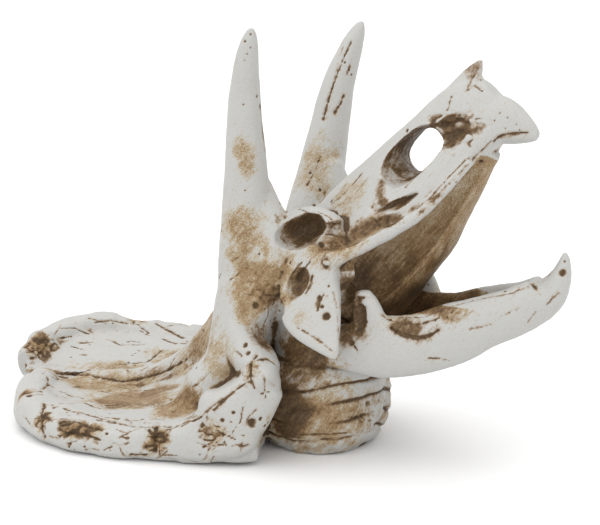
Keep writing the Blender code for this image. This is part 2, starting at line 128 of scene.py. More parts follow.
# %% Fusing forms and cutting hollows
def closed(grid):
    """Points and triangles of a grid of rings, with a fan at each end to close it."""
    rings, around = grid.shape[:2]
    points = np.vstack([grid.reshape(-1, 3), grid[0].mean(0), grid[-1].mean(0)])
    j = np.arange(around)
    k = (j + 1) % around
    low = (np.arange(rings - 1) * around)[:, None]
    a, b, c, d = low + j, low + k, low + around + k, low + around + j
    walls = np.stack([a, b, c, a, c, d], -1).reshape(-1, 3)
    first, last = rings * around, rings * around + 1
    end = (rings - 1) * around
    fans = [np.stack([k, j, np.full(around, first)], -1)]
    fans.append(np.stack([end + j, end + k, np.full(around, last)], -1))
    return points, np.vstack([walls, *fans])


def placed(name, data):
    """A new object with this data, in the scene."""
    made = bpy.data.objects.new(name, data)
    bpy.context.scene.collection.objects.link(made)
    return made


def faces_object(name, metres, corners, lengths):
    """An object made straight from arrays: points in metres, the corners of all faces in one
    row, and how many corners each face has."""
    mesh = bpy.data.meshes.new(name)
    mesh.vertices.add(len(metres))
    mesh.vertices.foreach_set("co", metres.astype(np.float32).ravel())
    mesh.loops.add(len(corners))
    mesh.loops.foreach_set("vertex_index", corners.astype(np.int32))
    mesh.polygons.add(len(lengths))
    starts = np.cumsum(lengths) - lengths
    mesh.polygons.foreach_set("loop_start", starts.astype(np.int32))
    mesh.update(calc_edges=True)
    return placed(name, mesh)


def triangles_object(name, points, triangles):
    """An object made of triangles between points in millimetres."""
    lengths = np.full(len(triangles), 3)
    return faces_object(name, points.astype(np.float32) * MM, triangles.ravel(), lengths)


def gathered(name, grids):
    """All the closed grids in one mesh, each still a body of its own."""
    parts = [closed(grid) for grid in grids]
    starts = np.cumsum([0] + [len(points) for points, _ in parts[:-1]])
    points = np.vstack([points for points, _ in parts])
    triangles = np.vstack([tri + start for (_, tri), start in zip(parts, starts)])
    return triangles_object(name, points, triangles)


def applied(obj):
    """Turns the object's modifiers into plain mesh."""
    graph = bpy.context.evaluated_depsgraph_get()
    old = obj.data
    obj.data = bpy.data.meshes.new_from_object(obj.evaluated_get(graph))
    obj.modifiers.clear()
    bpy.data.meshes.remove(old)
    return obj


def fused(obj, voxel, softening):
    """Wraps one skin round all the bodies of the mesh, then softens it."""
    wrap = obj.modifiers.new("wrap", "REMESH")
    wrap.mode = "VOXEL"
    wrap.voxel_size = voxel * MM
    soften = obj.modifiers.new("soften", "SMOOTH")
    soften.factor = 0.5
    soften.iterations = softening
    return applied(obj)


def cut_out(obj, cutter):
    """Takes one closed body out of another."""
    cut = obj.modifiers.new("cut", "BOOLEAN")
    cut.operation = "DIFFERENCE"
    cut.solver = "MANIFOLD"
    cut.object = cutter
    applied(obj)
    bpy.data.objects.remove(cutter, do_unlink=True)
    return obj


# %% [markdown]
# The long straight bridge of the nose climbs at 42 degrees. Most of the face is placed along it:
# how far along the bridge, and how far under it. The face itself is a wedge, narrow on top and
# wide at the tooth row.

# %% Face and beaks
BRIDGE_FOOT = np.array([3.0, 0.0, 99.0])
BRIDGE_PITCH = math.radians(42)
NOSE_WAY = np.array([math.cos(BRIDGE_PITCH), 0, math.sin(BRIDGE_PITCH)])
NOSE_UP = np.array([-math.sin(BRIDGE_PITCH), 0, math.cos(BRIDGE_PITCH)])
FINE_AROUND = 56  # points round the two largest forms, the face and the stump
FACE_POWER = 0.62  # a wedge with nearly flat sides


def bridge_point(along, below):
    """The point so far along the nose bridge and so far under it."""
    return BRIDGE_FOOT + NOSE_WAY * along - NOSE_UP * below


def face():
    """Brow to beak. Rows: along the bridge, top and foot under it, half width at both."""
    rows = [
        (-22, 6, 44, 20, 33),
        (-8, 2, 38, 17, 34),
        (6, 0, 34, 13, 33),
        (20, 0, 34.5, 11, 31),
        (32, 0, 35.5, 10, 28),
        (45, 0, 34.5, 9, 23.5),
        (57, 0, 31.5, 8, 18),
        (67, 0.5, 29.5, 7.5, 12.5),
        (74, 3, 31, 6.5, 9),
        (79, 8, 33, 4.5, 6),
    ]
    along, top, foot, half_top, half_foot = through(rows, 6).T
    centres = BRIDGE_FOOT + along[:, None] * NOSE_WAY - ((top + foot) / 2)[:, None] * NOSE_UP
    sides = np.broadcast_to(ACROSS, centres.shape)
    ups = np.broadcast_to(NOSE_UP, centres.shape)
    taper = (half_foot - half_top) / (half_foot + half_top)
    wide, high = (half_top + half_foot) / 2, (foot - top) / 2
    return ovals(centres, sides, ups, wide, high, FINE_AROUND, taper, FACE_POWER)


def beak():
    """The hooked upper beak at the end of the face."""
    return along_path([
        (64, 0, 130, 9.5, 11),
        (72, 0, 131.5, 8.5, 9.5),
        (79, 0, 129.5, 6.3, 7.2),
        (84.5, 0, 127.4, 3.8, 4.2),
        (87.8, 0, 126, 1.6, 1.6),
    ])


def nose_horn():
    """The short horn that ends the nose bridge."""
    return along_path([
        (52, 0, 134.5, 5, 5.6),
        (58, 0, 141.5, 4.4, 5.6),
        (62, 0, 148.5, 2.8, 3.8),
        (65.3, 0, 154, 0.9, 1),
    ])


def palate_keel():
    """The plate down the middle of the palate, which runs on into the throat."""
    return along_path([
        (69, 0, 122, 5, 6),
        (64, 0, 117, 7, 7.5),
        (57.5, 0, 107, 10, 9),
        (51.5, 0, 98.5, 13, 10),
        (45, 0, 87.5, 15, 11),
        (39, 0, 78, 16, 10),
        (30, 0, 66, 19, 10),
        (20, 0, 56, 22, 12),
    ])


face_forms = [face(), beak(), nose_horn(), palate_keel()]
print("face rings:", [len(grid) for grid in face_forms])

# %% [markdown]
# The two long brow horns lean out and bend a little forward at the tip. Each could be a bent
# cone, but its root swells into the brow, so it is one path of nine stations. The left one is a
# touch shorter than the right, as hand-finished casts often are.

# %% Brow horns
HORN_TIP_HEIGHT = 166.0
HORN_TIP_SPREAD = 99.0
HORN_ROOT = 62.0  # the height from which a horn is shortened
LEFT_HORN = 0.976, 2.5, 1.1  # share of the right one's length, how far back, how much stouter


def brow_horn(left):
    """One horn: an oval that thins from the crown to the tip along a leaning path."""
    rows = np.array([
        (-27, 13, 40, 13, 11),
        (-21.5, 21, 56, 13, 12.5),
        (-18, 28, 76, 11, 11.4),
        (-15.5, 33, 98, 8.8, 9.4),
        (-13.3, 38, 121, 7, 7.6),
        (-11.3, 42, 139, 5.9, 6.2),
        (-8.3, 45.8, 152, 4.7, 4.7),
        (-5.6, 48.3, 161, 3.2, 3.2),
        (-4, HORN_TIP_SPREAD / 2, HORN_TIP_HEIGHT, 1.1, 1.1),
    ])
    if not left:
        return upright(mirrored(rows))
    shorter, back, stouter = LEFT_HORN
    rows[:, 0] -= back
    rows[:, 2] = HORN_ROOT + (rows[:, 2] - HORN_ROOT) * shorter
    rows[:, 3:] *= stouter
    return upright(rows)


print("horn rings:", len(brow_horn(True)), len(brow_horn(False)))

# %% [markdown]
# The middle of the skull carries the eyes and the cheeks. Its body is two wide forms, from the
# snout over the brain and down the nape. Five slimmer ones lie on each side: brow, flank, edge of
# the tooth row, foot of the horn and cheek. They are listed once and mirrored.

# %% Skull, brows and cheeks
def braincase():
    """The wide middle of the skull."""
    return along_path([
        (-37, 0, 53, 15, 7),
        (-29, 0, 60, 25, 15),
        (-16, 0, 67, 31, 22),
        (0, 0, 70, 33, 24),
        (14, 0, 74, 33, 20),
        (26, 0, 79, 30, 13),
    ])


def nape():
    """The slope from the crown down to the long ridge in the middle of the frill."""
    return along_path([
        (-20, 0, 61, 27, 16),
        (-34, 0, 45.5, 20, 12.5),
        (-45, 0, 34.5, 13, 11),
        (-56, 0, 24, 9, 10),
        (-74, 0, 12.5, 8, 9.5),
        (-98, 0, 8, 7, 8.5),
        (-122, 0, 7, 6, 7),
        (-136, 0, 6, 4, 4),
    ])


BROW = [
    (-14, 24, 79, 10, 11),
    (-4, 27, 82, 9, 11),
    (8, 27, 87.5, 8.5, 11),
    (15.5, 26.5, 88.5, 7.5, 9.5),
    (21, 25, 89, 5, 6),
]
FLANK = [
    (-12, 29, 80, 8, 10),
    (-17, 30, 66, 10, 11.5),
    (-20, 30, 52, 11, 11.5),
    (-24, 31, 38, 11, 10),
    (-31, 32, 26, 11, 10),
    (-42, 34, 15, 10, 8),
    (-56, 36, 9, 8, 5),
]
JAW_EDGE = [
    (17, 34.5, 80, 2.5, 2.8),
    (20, 34.5, 80.8, 3.6, 4),
    (25, 33, 83, 3.2, 3.3),
    (31, 31, 86, 3, 3),
    (37, 28.5, 89.8, 3, 3),
    (44, 26, 93.8, 2.6, 2.8),
    (51, 23.3, 98.5, 2.2, 2.4),
    (57, 20.3, 105, 2, 2.2),
    (62, 17, 111.5, 1.8, 2),
    (67, 13.5, 118, 1.6, 1.8),
]
HORN_FOOT = [
    (-12, 31, 108, 4, 5),
    (-9.5, 31, 100, 6, 6),
    (-7.5, 31, 93, 7, 8),
    (-6, 31, 85, 7.5, 9.5),
    (-6, 31, 75, 8, 8.5),
    (-9.5, 31, 65, 8, 7),
    (-13, 31, 55, 8, 6),
]
CHEEK = [
    (13, 30, 85, 5, 11),
    (12, 33, 74, 4.5, 11),
    (12.5, 35.5, 68, 3.6, 12.5),
    (13.7, 38, 60, 3, 12.7),
    (16, 39.7, 54, 2.6, 11),
    (19.7, 41, 50, 2.2, 7.7),
    (23.7, 42, 47, 1.7, 3.7),
    (26, 42.5, 45, 0.8, 1),
]


def skull_forms():
    """All the forms of the skull, with those of the sides on both."""
    forms = face_forms + [braincase(), nape(), brow_horn(True), brow_horn(False)]
    for turned in (np.array, mirrored):
        forms.append(along_path(turned(BROW)))
        forms.append(along_path(turned(FLANK)))
        forms.append(along_path(turned(JAW_EDGE)))
        forms.append(level(turned(HORN_FOOT)))
        forms.append(level(turned(CHEEK), power=0.6))
    return forms


print("skull forms:", len(skull_forms()))

# %% [markdown]
# The lower jaw is two slim halves that meet in an upturned beak, with a floor between them and a
# tongue of bone behind each tooth row. Each is a path of ovals again, as the halves bend inward
# and upward at once, which a straight block wouldn't.

# %% Lower jaw
JAW = [
    (14, 24, 44, 5, 7),
    (24, 25.5, 46, 5.2, 9.5),
    (36, 24.5, 47, 5.2, 12),
    (50, 20.5, 49, 5.2, 11.8),
    (62, 16.5, 53.2, 5.4, 11.8),
    (73, 12.8, 58, 5.4, 10.2),
    (82, 8.5, 61.5, 5.4, 9.4),
    (90, 3.5, 66, 5, 8.8),
]
TONGUE = [
    (36, 25, 46, 4, 11),
    (33, 26, 56, 3.6, 7.4),
    (31, 27, 64, 3.2, 5.4),
    (30, 27.5, 69, 2, 3.2),
]


def jaw_beak():
    """The upturned beak of the lower jaw."""
    return along_path([
        (80, 0, 61, 10.5, 8.5),
        (88, 0, 64.5, 8.5, 8.2),
        (94.2, 0, 69.5, 6.4, 6.6),
        (97.7, 0, 76, 4.4, 4),
        (98.9, 0, 81.5, 2.6, 2.3),
        (98.6, 0, 84.8, 1, 0.9),
    ])


def jaw_floor():
    """The floor of the mouth between the halves of the jaw."""
    return along_path([
        (8, 0, 44, 22, 6),
        (30, 0, 43, 23, 5),
        (52, 0, 44, 19, 4.5),
        (72, 0, 52, 12, 4.5),
        (86, 0, 59, 6, 4.5),
    ])


print("jaw rings:", len(jaw_beak()), len(jaw_floor()))

# %% [markdown]
# The throat closes the back of the mouth. Under it stands the neck stump, modelled like a block
# of layered rock that is drawn in at its foot. It is a stack of level ovals, boxy enough to look
# like a block and round enough to look cast.

# %% Throat and stump
STUMP_LENGTH = 50.0
STUMP_WIDTH = 54.0
STUMP_TOP = 36.0


def throat():
    """The closed back of the mouth, which joins the skull to the stump."""
    return upright([
        (2, 0, 20, 22, 20),
        (3, 0, 38, 24, 21),
        (4, 0, 52, 26, 22),
        (6, 0, 70, 24, 20),
    ])


def stump():
    """Level ovals, slightly boxy. Rows: height, share of length and of width, shift forward."""
    rows = [
        (-1.5, 0.68, 0.60, -1.0),
        (2.5, 0.86, 0.82, -0.5),
        (7.0, 0.97, 0.95, 0.0),
        (14.0, 1.0, 1.0, 0.5),
        (24.0, 0.97, 1.0, 0.5),
        (STUMP_TOP, 1.0, 0.97, 2.0),
    ]
    height, long_share, wide_share, shift = np.array(rows).T
    sizes = wide_share * STUMP_WIDTH / 2, long_share * STUMP_LENGTH / 2
    return level(np.stack([shift, 0 * shift, height, *sizes], -1), around=FINE_AROUND, power=0.8)


def jaw_forms():
    """All the forms of the lower jaw, the throat and the stump."""
    forms = [jaw_beak(), jaw_floor(), throat(), stump()]
    for turned in (np.array, mirrored):
        forms.append(along_path(turned(JAW)))
        forms.append(upright(turned(TONGUE)))
    return forms


print("jaw forms:", len(jaw_forms()))

# %% [markdown]
# The frill lies almost flat on the ground in two lobes. A rolled rim runs from each cheek round
# to a notch at the rear, and bony knobs sit on it like a row of pebbles. The rim is a tube and
# each knob is a short fat sausage on the same path, so the knobs follow every bend of the rim.

# %% Rim and knobs of the frill
RIM_LEFT = [
    (-21, 30, 62, 5, 6),
    (-17, 36, 49, 6, 7.5),
    (-6, 41, 34, 8, 9),
    (-15, 46, 20, 9, 15),
    (-32, 52, 14, 9, 13.5),
    (-60, 55, 13, 9, 12.5),
    (-92, 55, 14, 9, 11.5),
    (-115, 52, 15, 9, 11),
    (-135, 44.5, 17, 8.5, 11.5),
    (-147, 31, 17, 8, 10),
    (-149.5, 17, 14, 7.5, 8.5),
    (-148, 7, 12, 6, 7),
]
RIM_RIGHT = [
    *mirrored(RIM_LEFT[:3]),
    (-15, -46, 19, 9, 14),
    (-30, -49, 9.5, 9, 9.5),
    (-55, -54, 7, 9.5, 7.4),
    (-76, -54.5, 7, 10, 7.2),
    (-94, -50, 7, 10, 7.2),
    (-107.5, -42, 8, 9, 7.5),
    (-118, -30.5, 9, 8, 7.5),
    (-124.5, -18, 10, 7.5, 7),
    (-129.5, -7, 10, 6, 6),
]
RIM_POWER = 0.75
SLIM = 0.93  # the rim's share of a knob's size, past the cheek
CHEEK_SHARE = 0.2  # the share of the rim's way that lies along the cheek
KNOB_END = 0.995  # the end rings stay open, for the fans to close

# Where each knob starts and ends, counted in rows of the rim.
KNOBS_LEFT = [
    (2.9, 3.9), (4.0, 5.1), (5.2, 6.3), (6.6, 7.35), (7.5, 8.3), (8.55, 9.25), (9.35, 10.1),
    (10.2, 11.0),
]
KNOBS_RIGHT = [
    (2.7, 3.6), (3.65, 4.4), (4.85, 5.65), (5.72, 7.3), (7.65, 9.2), (9.3, 10.1), (10.2, 11.0),
]


def rim(rows):
    """The rolled rim, a little slimmer than the knobs that sit on it."""
    slim = through(rows, 6)
    share = np.linspace(0, 1, len(slim))[:, None]
    slim[:, 3:] *= np.where(share < CHEEK_SHARE, 1.0, SLIM)
    return along_path(slim, steps=1, power=RIM_POWER)


def knob(rows, start, end):
    """One knob: the rim's own ovals from start to end, closed like a sausage. Its size follows
    (1 - |u|^5)^(1/3), where u runs from -1 to 1 along it."""
    u = np.linspace(-KNOB_END, KNOB_END, 28)
    stations = through(rows, 24)
    at = (start + end) / 2 + u * (end - start) / 2
    here = np.stack([np.interp(at * 24, np.arange(len(stations)), col) for col in stations.T], -1)
    here[:, 3:] *= ((1 - np.abs(u) ** 5) ** (1 / 3))[:, None]
    return along_path(here, steps=1, power=RIM_POWER)


print("knobs:", len(KNOBS_LEFT), "on the left and", len(KNOBS_RIGHT), "on the right")

# %% [markdown]
# Between the rim and the ridge in the middle each lobe is dished. A soft cloth hung between two
# rails takes that shape, and a sheet of straight lines that sag in the middle comes close to it.
# It is thickened down to just above the ground, so the lobe is one solid with its rim.

# %% The dished lobes of the frill
# Rows: x and height of the ridge.
RIDGE = [(-150, 9), (-100, 13), (-80, 16), (-66, 23), (-56, 32), (-45, 44), (-22, 62)]
WEB_FOOT = 2.0
NOTCH_START = -90  # behind this the lines draw in to the notch at the rear
LEAST_SAG, SAG_PER_DROP = 1.0, 0.16


def web(rows, side):
    """The dished body of one lobe: straight lines from the ridge to the rim, sagging in the
    middle by a sine, with their feet on one level just above the ground."""
    x, y, z, wide, high = through(rows[2:], 5).T
    inner_x = np.where(x > NOTCH_START, x * 0.82 - 18, x * 0.93 - 8)
    ridge = np.interp(inner_x, *np.array(RIDGE).T)
    inner = np.stack([inner_x, np.full_like(x, -2.0 * side), ridge], -1)
    outer = np.stack([x, y + 0.35 * side * wide, z + high * 0.92], -1)
    share = np.linspace(0, 1, 17)
    top = inner[:, None] + (outer - inner)[:, None] * share[:, None]
    sag = LEAST_SAG + SAG_PER_DROP * np.maximum(inner[:, 2] - outer[:, 2], 0)
    top[..., 2] -= sag[:, None] * np.sin(np.pi * share)
    foot = top[:, ::-1].copy()
    foot[..., 2] = WEB_FOOT
    return np.concatenate([top, foot], axis=1)


def frill_forms():
    """Rim, dish and knobs of both lobes."""
    forms = []
    for rows, side, spans in ((RIM_LEFT, 1, KNOBS_LEFT), (RIM_RIGHT, -1, KNOBS_RIGHT)):
        forms += [rim(rows), web(rows, side)]
        forms += [knob(rows, start, end) for start, end in spans]
    return forms


print("frill forms:", len(frill_forms()))

# %% [markdown]
# The hollows are what makes a skull a skull: nostril, eye sockets, the pits before and behind
# the eyes, and the open palate. Each is a closed body too. Most are balls stretched to three
# half sizes and tilted; the nostril and the palate troughs follow a path.

# %% Balls and nostril
BALL_RINGS, BALL_AROUND = 18, 32
POLE = 0.02  # the end rings stay open, for the fans to close
NOSTRIL_AT = 43.2  # its middle, measured along the nose bridge


def ball(centre, sizes, tilt):
    """A stretched ball: sizes times (cos a, sin a cos b, sin a sin b), tilted about Y by an angle
    in degrees."""
    a = np.linspace(POLE, np.pi - POLE, BALL_RINGS)[:, None]
    b = 2 * np.pi * np.arange(BALL_AROUND) / BALL_AROUND
    grid = np.stack([np.cos(a) + 0 * b, np.sin(a) * np.cos(b), np.sin(a) * np.sin(b)], -1) * sizes
    tilt = math.radians(tilt)
    about_y = np.array([(math.cos(tilt), 0, math.sin(tilt)), (0, 1, 0),
                        (-math.sin(tilt), 0, math.cos(tilt))])
    return grid @ about_y.T + np.asarray(centre)


def nostril():
    """The large nostril goes right through and flares to both sides. Rows: how far across,
    half length, half height, depth under the bridge."""
    half = np.array([(0, 9.4, 6.4, 12), (7, 11.3, 7, 12), (14, 13.8, 7.8, 12.2),
                     (26, 16, 8.6, 12.4)])
    rows = np.vstack([half[:0:-1] * (-1, 1, 1, 1), half])
    across, long, high, below = through(rows, 5).T
    centres = bridge_point(NOSTRIL_AT, 0) - NOSE_UP * below[:, None] + ACROSS * across[:, None]
    sides = np.broadcast_to(NOSE_WAY, centres.shape)
    ups = np.broadcast_to(NOSE_UP, centres.shape)
    return ovals(centres, sides, ups, long, high, 40, power=0.8)


print("nostril rings:", len(nostril()))

# %% [markdown]
# The balls are listed with their middle, half sizes and tilt: the eye socket, the pit in the side
# of the beak, three pits in the cheek, and the gap between the cheek and the jaw. The troughs are
# listed like any other path. All are cut on both sides, save the crack at the rear.

# %% All the hollows
BEAK_PIT = bridge_point(62, 14)
BALLS = [
    ((8, 38, 90.5), (10.5, 14, 6.4), -28),
    ((BEAK_PIT[0], 14.3, BEAK_PIT[2]), (11, 6, 7), -42),
    ((8.5, 40, 72), (4.5, 6, 7), 25),
    ((-0.5, 37, 60.5), (5, 7, 4.2), -20),
    ((-3.5, 37, 50.5), (6.5, 8, 5), 30),
    ((30.5, 36, 58), (3.8, 8, 10), 5),
]
PALATE_TROUGH = [
    (70, 6.5, 116, 2.5, 3),
    (65, 9, 110, 4, 5),
    (58, 12.5, 101, 6.5, 6.5),
    (49, 15, 92, 8, 8.5),
    (39, 17.5, 82, 9, 10.5),
    (28, 19, 72, 8.5, 11),
    (22, 20, 66, 6, 8),
]
REAR_CRACK = [
    (-165, 0, 14, 4, 14),
    (-140, 0, 14, 2.4, 10),
    (-122, 0, 14, 1.5, 5),
    (-104, 0, 15, 0.8, 2),
]
BEFORE_EYE = [
    (15.5, 37, 85.5, 7, 2.5),
    (19.5, 35.5, 88.8, 8, 5.2),
    (27, 32, 91.7, 7.5, 4.8),
    (35, 29.3, 94.2, 6, 3.6),
    (42, 27, 96.8, 4.5, 2),
    (45.5, 25.5, 98.2, 3, 0.9),
]
SNOUT_STEM = [
    (31, 24, 98.5, 3.5, 1.8),
    (33, 22.5, 103, 3.5, 2.2),
    (35.5, 20, 108, 3.5, 2.4),
    (37.5, 19, 111, 3, 1.4),
]
SNOUT_SLOT = [
    (33, 25.5, 97.8, 4, 1),
    (40, 24, 100.6, 4.5, 1.6),
    (47, 22.8, 104.2, 4, 1.2),
    (50, 22, 106, 3, 0.7),
]


def hollow_forms():
    """All the bodies that are cut out of the casting."""
    forms = [nostril(), along_path(REAR_CRACK)]
    for (x, y, z), sizes, tilt in BALLS:
        forms += [ball((x, side * y, z), sizes, tilt) for side in (1, -1)]
    for turned in (np.array, mirrored):
        for rows in (PALATE_TROUGH, BEFORE_EYE, SNOUT_STEM, SNOUT_SLOT):
            forms.append(along_path(turned(rows)))
    return forms


print("hollows:", len(hollow_forms()))

# %% [markdown]
# Now the lumps are fused, softened, hollowed and fused once more. The first skin is coarse, so
# that the joins between the lumps blur as in clay. The second is fine enough to hold the marks.

# %% The casting
COARSE = 0.8
FINE = 0.55
CUTTER_VOXEL = 0.8

casting = gathered("casting", skull_forms() + jaw_forms() + frill_forms())
fused(casting, COARSE, softening=12)
cutter = fused(gathered("cutter", hollow_forms()), CUTTER_VOXEL, softening=2)
cut_out(casting, cutter)
fused(casting, FINE, softening=3)
print("casting:", len(casting.data.vertices), "points,", len(casting.data.polygons), "faces")

# %% [markdown]
# From here on the casting is arrays: one row per point. Voxel remesh gives four-sided faces, so
# each is split into two triangles.

# %% The casting as arrays
def arrays_of(obj):
    """Points in millimetres and triangles of a mesh of triangles and quads."""
    mesh = obj.data
    points = np.empty(len(mesh.vertices) * 3, np.float32)
    mesh.vertices.foreach_get("co", points)
    mesh.calc_loop_triangles()
    triangles = np.empty(len(mesh.loop_triangles) * 3, np.int32)
    mesh.loop_triangles.foreach_get("vertices", triangles)
    return points.reshape(-1, 3).astype(float) / MM, triangles.reshape(-1, 3)


def sums(index, values, count):
    """Adds up rows of values that share an index."""
    return np.stack([np.bincount(index, column, count) for column in values.T], -1)


def normals_of(points, triangles):
    """The direction each point faces: the sum of its triangles' cross products, made unit."""
    a, b, c = (points[triangles[:, i]] for i in range(3))
    faces = np.cross(b - a, c - a)
    total = sums(triangles.T.ravel(), np.tile(faces, (3, 1)), len(points))
    return total / np.maximum(np.linalg.norm(total, axis=1, keepdims=True), 1e-9)


points, triangles = arrays_of(casting)
bpy.data.objects.remove(casting, do_unlink=True)
points[:, 2] = np.maximum(points[:, 2], 0)
normals = normals_of(points, triangles)
print("lowest and highest corner:", points.min(0).round(1), points.max(0).round(1))

# %% [markdown]
# Nothing on a cast from clay is quite even. A lattice of random numbers, blended smoothly, gives
# that unevenness to the marks, the paint and the skin itself. The numbers come from whole-number
# arithmetic on the lattice corner, so they are the same in every run.

# %% Unevenness
LATTICE_SHIFT = 1000  # keeps all lattice corners positive
CORNER_FACTORS = np.array([73856093, 19349663, 83492791])
SEED_FACTOR, MIX_FACTOR = 2654435761, 1274126177
LOW_31, LOW_16 = 0x7FFFFFFF, 0xFFFF


def mottle(at, size, seed):
    """Value noise from 0 to 1: a random number at each corner of a lattice of cells, blended
    inside each cell by s = t^2 (3 - 2t) along all three ways."""
    at = np.asarray(at) / size + LATTICE_SHIFT
    cell = np.floor(at).astype(np.int64)
    t = at - cell
    t = t * t * (3 - 2 * t)
    total = 0
    for corner in range(8):
        bit = np.array([corner & 1, corner >> 1 & 1, corner >> 2 & 1])
        key = (cell + bit) @ CORNER_FACTORS + seed * SEED_FACTOR
        key = (key ^ (key >> 13)) * MIX_FACTOR & LOW_31
        value = ((key ^ (key >> 16)) & LOW_16) / LOW_16
        total = total + value * np.where(bit, t, 1 - t).prod(1)
    return total


tried = mottle(points[:1000], 5, 1)
print("mottle spans", tried.min().round(2), "to", tried.max().round(2))

# %% [markdown]
# The sculptor scratched cracks, pits and sutures into the clay before it was cast. A mark is a
# path of a few points on the skin. Its distance is measured along the surface: what a point is
# off the path along its own facing direction does not count. The depth falls off as a bell
# curve, and every mark also soaks up brown wash.

# %% Grooves and pits
sink = np.zeros(len(points))
# Stains of the marks and areas, and further down also the painted shade deep in the mouth.
stain_and_shade = np.zeros(len(points))
tan = np.zeros(len(points))
rough = np.zeros(len(points))
SAME_SKIN = 3.0  # a point deeper under the path than this lies on another side of the cast
FAR_OFF = 99
UNSTEADY = 1.4  # how far a line wanders, in half widths
HALO_SHARE, HALO_WIDTH = 0.55, 3  # the wash that bleeds out beside a line
PIT_DEPTH, PIT_STAIN, PIT_STAIN_WIDTH = 0.7, 0.9, 1.05


def held(values):
    """The values, held between 0 and 1."""
    return np.clip(values, 0, 1)


def near_path(path, reach):
    """The points near a path, and how far each is from it along the surface."""
    path = np.asarray(path, float)
    low, high = path.min(0) - reach - 3, path.max(0) + reach + 3
    at = np.flatnonzero(((points > low) & (points < high)).all(1))
    start, way = path[:-1], np.diff(path, axis=0)
    off = points[at][:, None] - start
    share = held((off * way).sum(-1) / (way**2).sum(-1))
    off = off - share[..., None] * way
    depth = (off * normals[at][:, None]).sum(-1)
    flat = np.sqrt(np.maximum((off**2).sum(-1) - depth**2, 0))
    flat[np.abs(depth) > SAME_SKIN] = FAR_OFF
    return at, flat.min(1)


def groove(width, depth, dark, path):
    """A scratched line, a little unsteady along its way."""
    at, off = near_path(path, 6 * width)
    off = off + UNSTEADY * width * (mottle(points[at], 1.5, 3) - 0.5)
    patchy = 0.6 * mottle(points[at], 6, 4) + 0.4 * mottle(points[at], 2, 24)
    breadth = width * (0.4 + patchy)
    sink[at] = np.maximum(sink[at], depth * np.exp(-((off / breadth) ** 2)))
    line = dark * (0.1 + 1.2 * patchy) * np.exp(-((off / breadth) ** 2))
    halo = HALO_SHARE * dark * patchy * np.exp(-((off / breadth / HALO_WIDTH) ** 2))
    stain_and_shade[at] = np.maximum(stain_and_shade[at], np.maximum(line, halo))


def pit(radius, spot):
    """A round pit with an uneven edge."""
    spot = np.array(spot, float).reshape(3)
    at, off = near_path([spot, spot + 0.01], 3 * radius)
    off = off * (0.8 + 0.5 * mottle(points[at], radius, 5))
    sink[at] = np.maximum(sink[at], PIT_DEPTH * radius * np.exp(-((off / radius) ** 4)))
    darkened = PIT_STAIN * np.exp(-((off / radius / PIT_STAIN_WIDTH) ** 4))
    stain_and_shade[at] = np.maximum(stain_and_shade[at], darkened)


def on_both_sides(mark, rows, shift):
    """Makes each mark where it stands and once more, a little shifted, on the other side."""
    for *sizes, path in rows:
        mark(*sizes, path)
        mark(*sizes, mirrored(path) + shift)


# %% [markdown]
# Wash and spray also lie on whole areas. Such an area is a stretched ball, and what is kept of
# the colour fades out towards its ragged edge, as paint does that is wiped or misted on.

# %% Areas of colour
FADE = 0.7
BALL_MARGIN = 1.3
FACING_GAIN = 2.5


def within(centre, sizes):
    """The points inside a stretched ball, and a weight that fades out at its ragged edge."""
    centre, sizes = np.array(centre, float), np.array(sizes, float)
    at = np.flatnonzero((np.abs(points - centre) < sizes * BALL_MARGIN).all(1))
    reach = np.linalg.norm((points[at] - centre) / sizes, axis=1)
    reach = reach + 0.6 * (mottle(points[at], 5, 6) - 0.5)
    reach = reach + 0.3 * (mottle(points[at], 1.6, 7) - 0.5) - 0.1
    return at, held((1 - reach) / FADE)


def tint(kept, amount, centre, sizes, cavity=False):
    """Raises stain, tan or rough inside a stretched ball. For a cavity it does so only where
    the skin faces the ball's long axis, so the rim round the hole stays white."""
    at, weight = within(centre, sizes)
    if cavity:
        off = (points[at] - centre) * (1, 0.25, 1)
        inward = -(normals[at] * off).sum(1) / np.maximum(np.linalg.norm(off, axis=1), 1)
        weight = weight * held(inward * FACING_GAIN)
    kept[at] = np.maximum(kept[at], amount * weight)


def tint_both(kept, rows, cavity=False):
    """The same tints on the animal's left and right. Rows: amount, middle, half sizes."""
    for amount, centre, sizes in rows:
        for side in (1, -1):
            tint(kept, amount, centre * np.array([1, side, 1]), sizes, cavity)


def lining(kept, amount, rows):
    """Tints the walls of a hollow on both sides, given by the rows of its ovals."""
    for x, y, z, wide, tall in through(rows, 4):
        tint_both(kept, [(amount, (x, y, z), (tall, wide, tall))])


print("areas fade out over", FADE, "of their half sizes")

# %% [markdown]
# Cracks run up each horn and differ from one to the other. Each is drawn with a needle in clay.
# Rows: half width, depth, how dark, and the way over the skin.

# %% Cracks of the horns
HORN_AND_FRILL_SHARE = 0.9  # lines on horns and frill are a little finer than listed
SHOWS = 0.3  # a stain weaker than this doesn't show

HORN_MARKS = [
    (0.5, 0.5, 0.9, [(-5.5, -40.5, 137), (-6, -38, 128.5), (-6, -36.5, 120)]),
    (0.35, 0.25, 0.7, [(-19, -39, 77.5), (-15.5, -39.5, 79.5)]),
    (0.35, 0.3, 0.7, [(-20, -39, 70), (-15.5, -39, 73.5)]),
    (0.5, 0.6, 1, [(-8.5, 43, 155), (-10.5, 39.5, 148), (-13, 35.5, 138), (-15.5, 31.5, 124.5)]),
    (0.35, 0.3, 0.8, [(-11.5, 42, 153.5), (-12.5, 38.5, 145.5), (-13, 35.5, 138)]),
    (0.5, 0.5, 1, [(-8.5, 37, 134), (-9.5, 35.5, 130.5), (-11, 33.5, 127)]),
    (0.5, 0.4, 0.8, [(-14.5, 27.5, 110), (-16, 25.5, 104.5), (-18.5, 23.5, 98)]),
    (0.35, 0.3, 0.7, [(-7.5, 41.5, 148), (-8.5, 39, 142)]),
]
for width, depth, dark, path in HORN_MARKS:
    groove(HORN_AND_FRILL_SHARE * width, depth, dark, path)
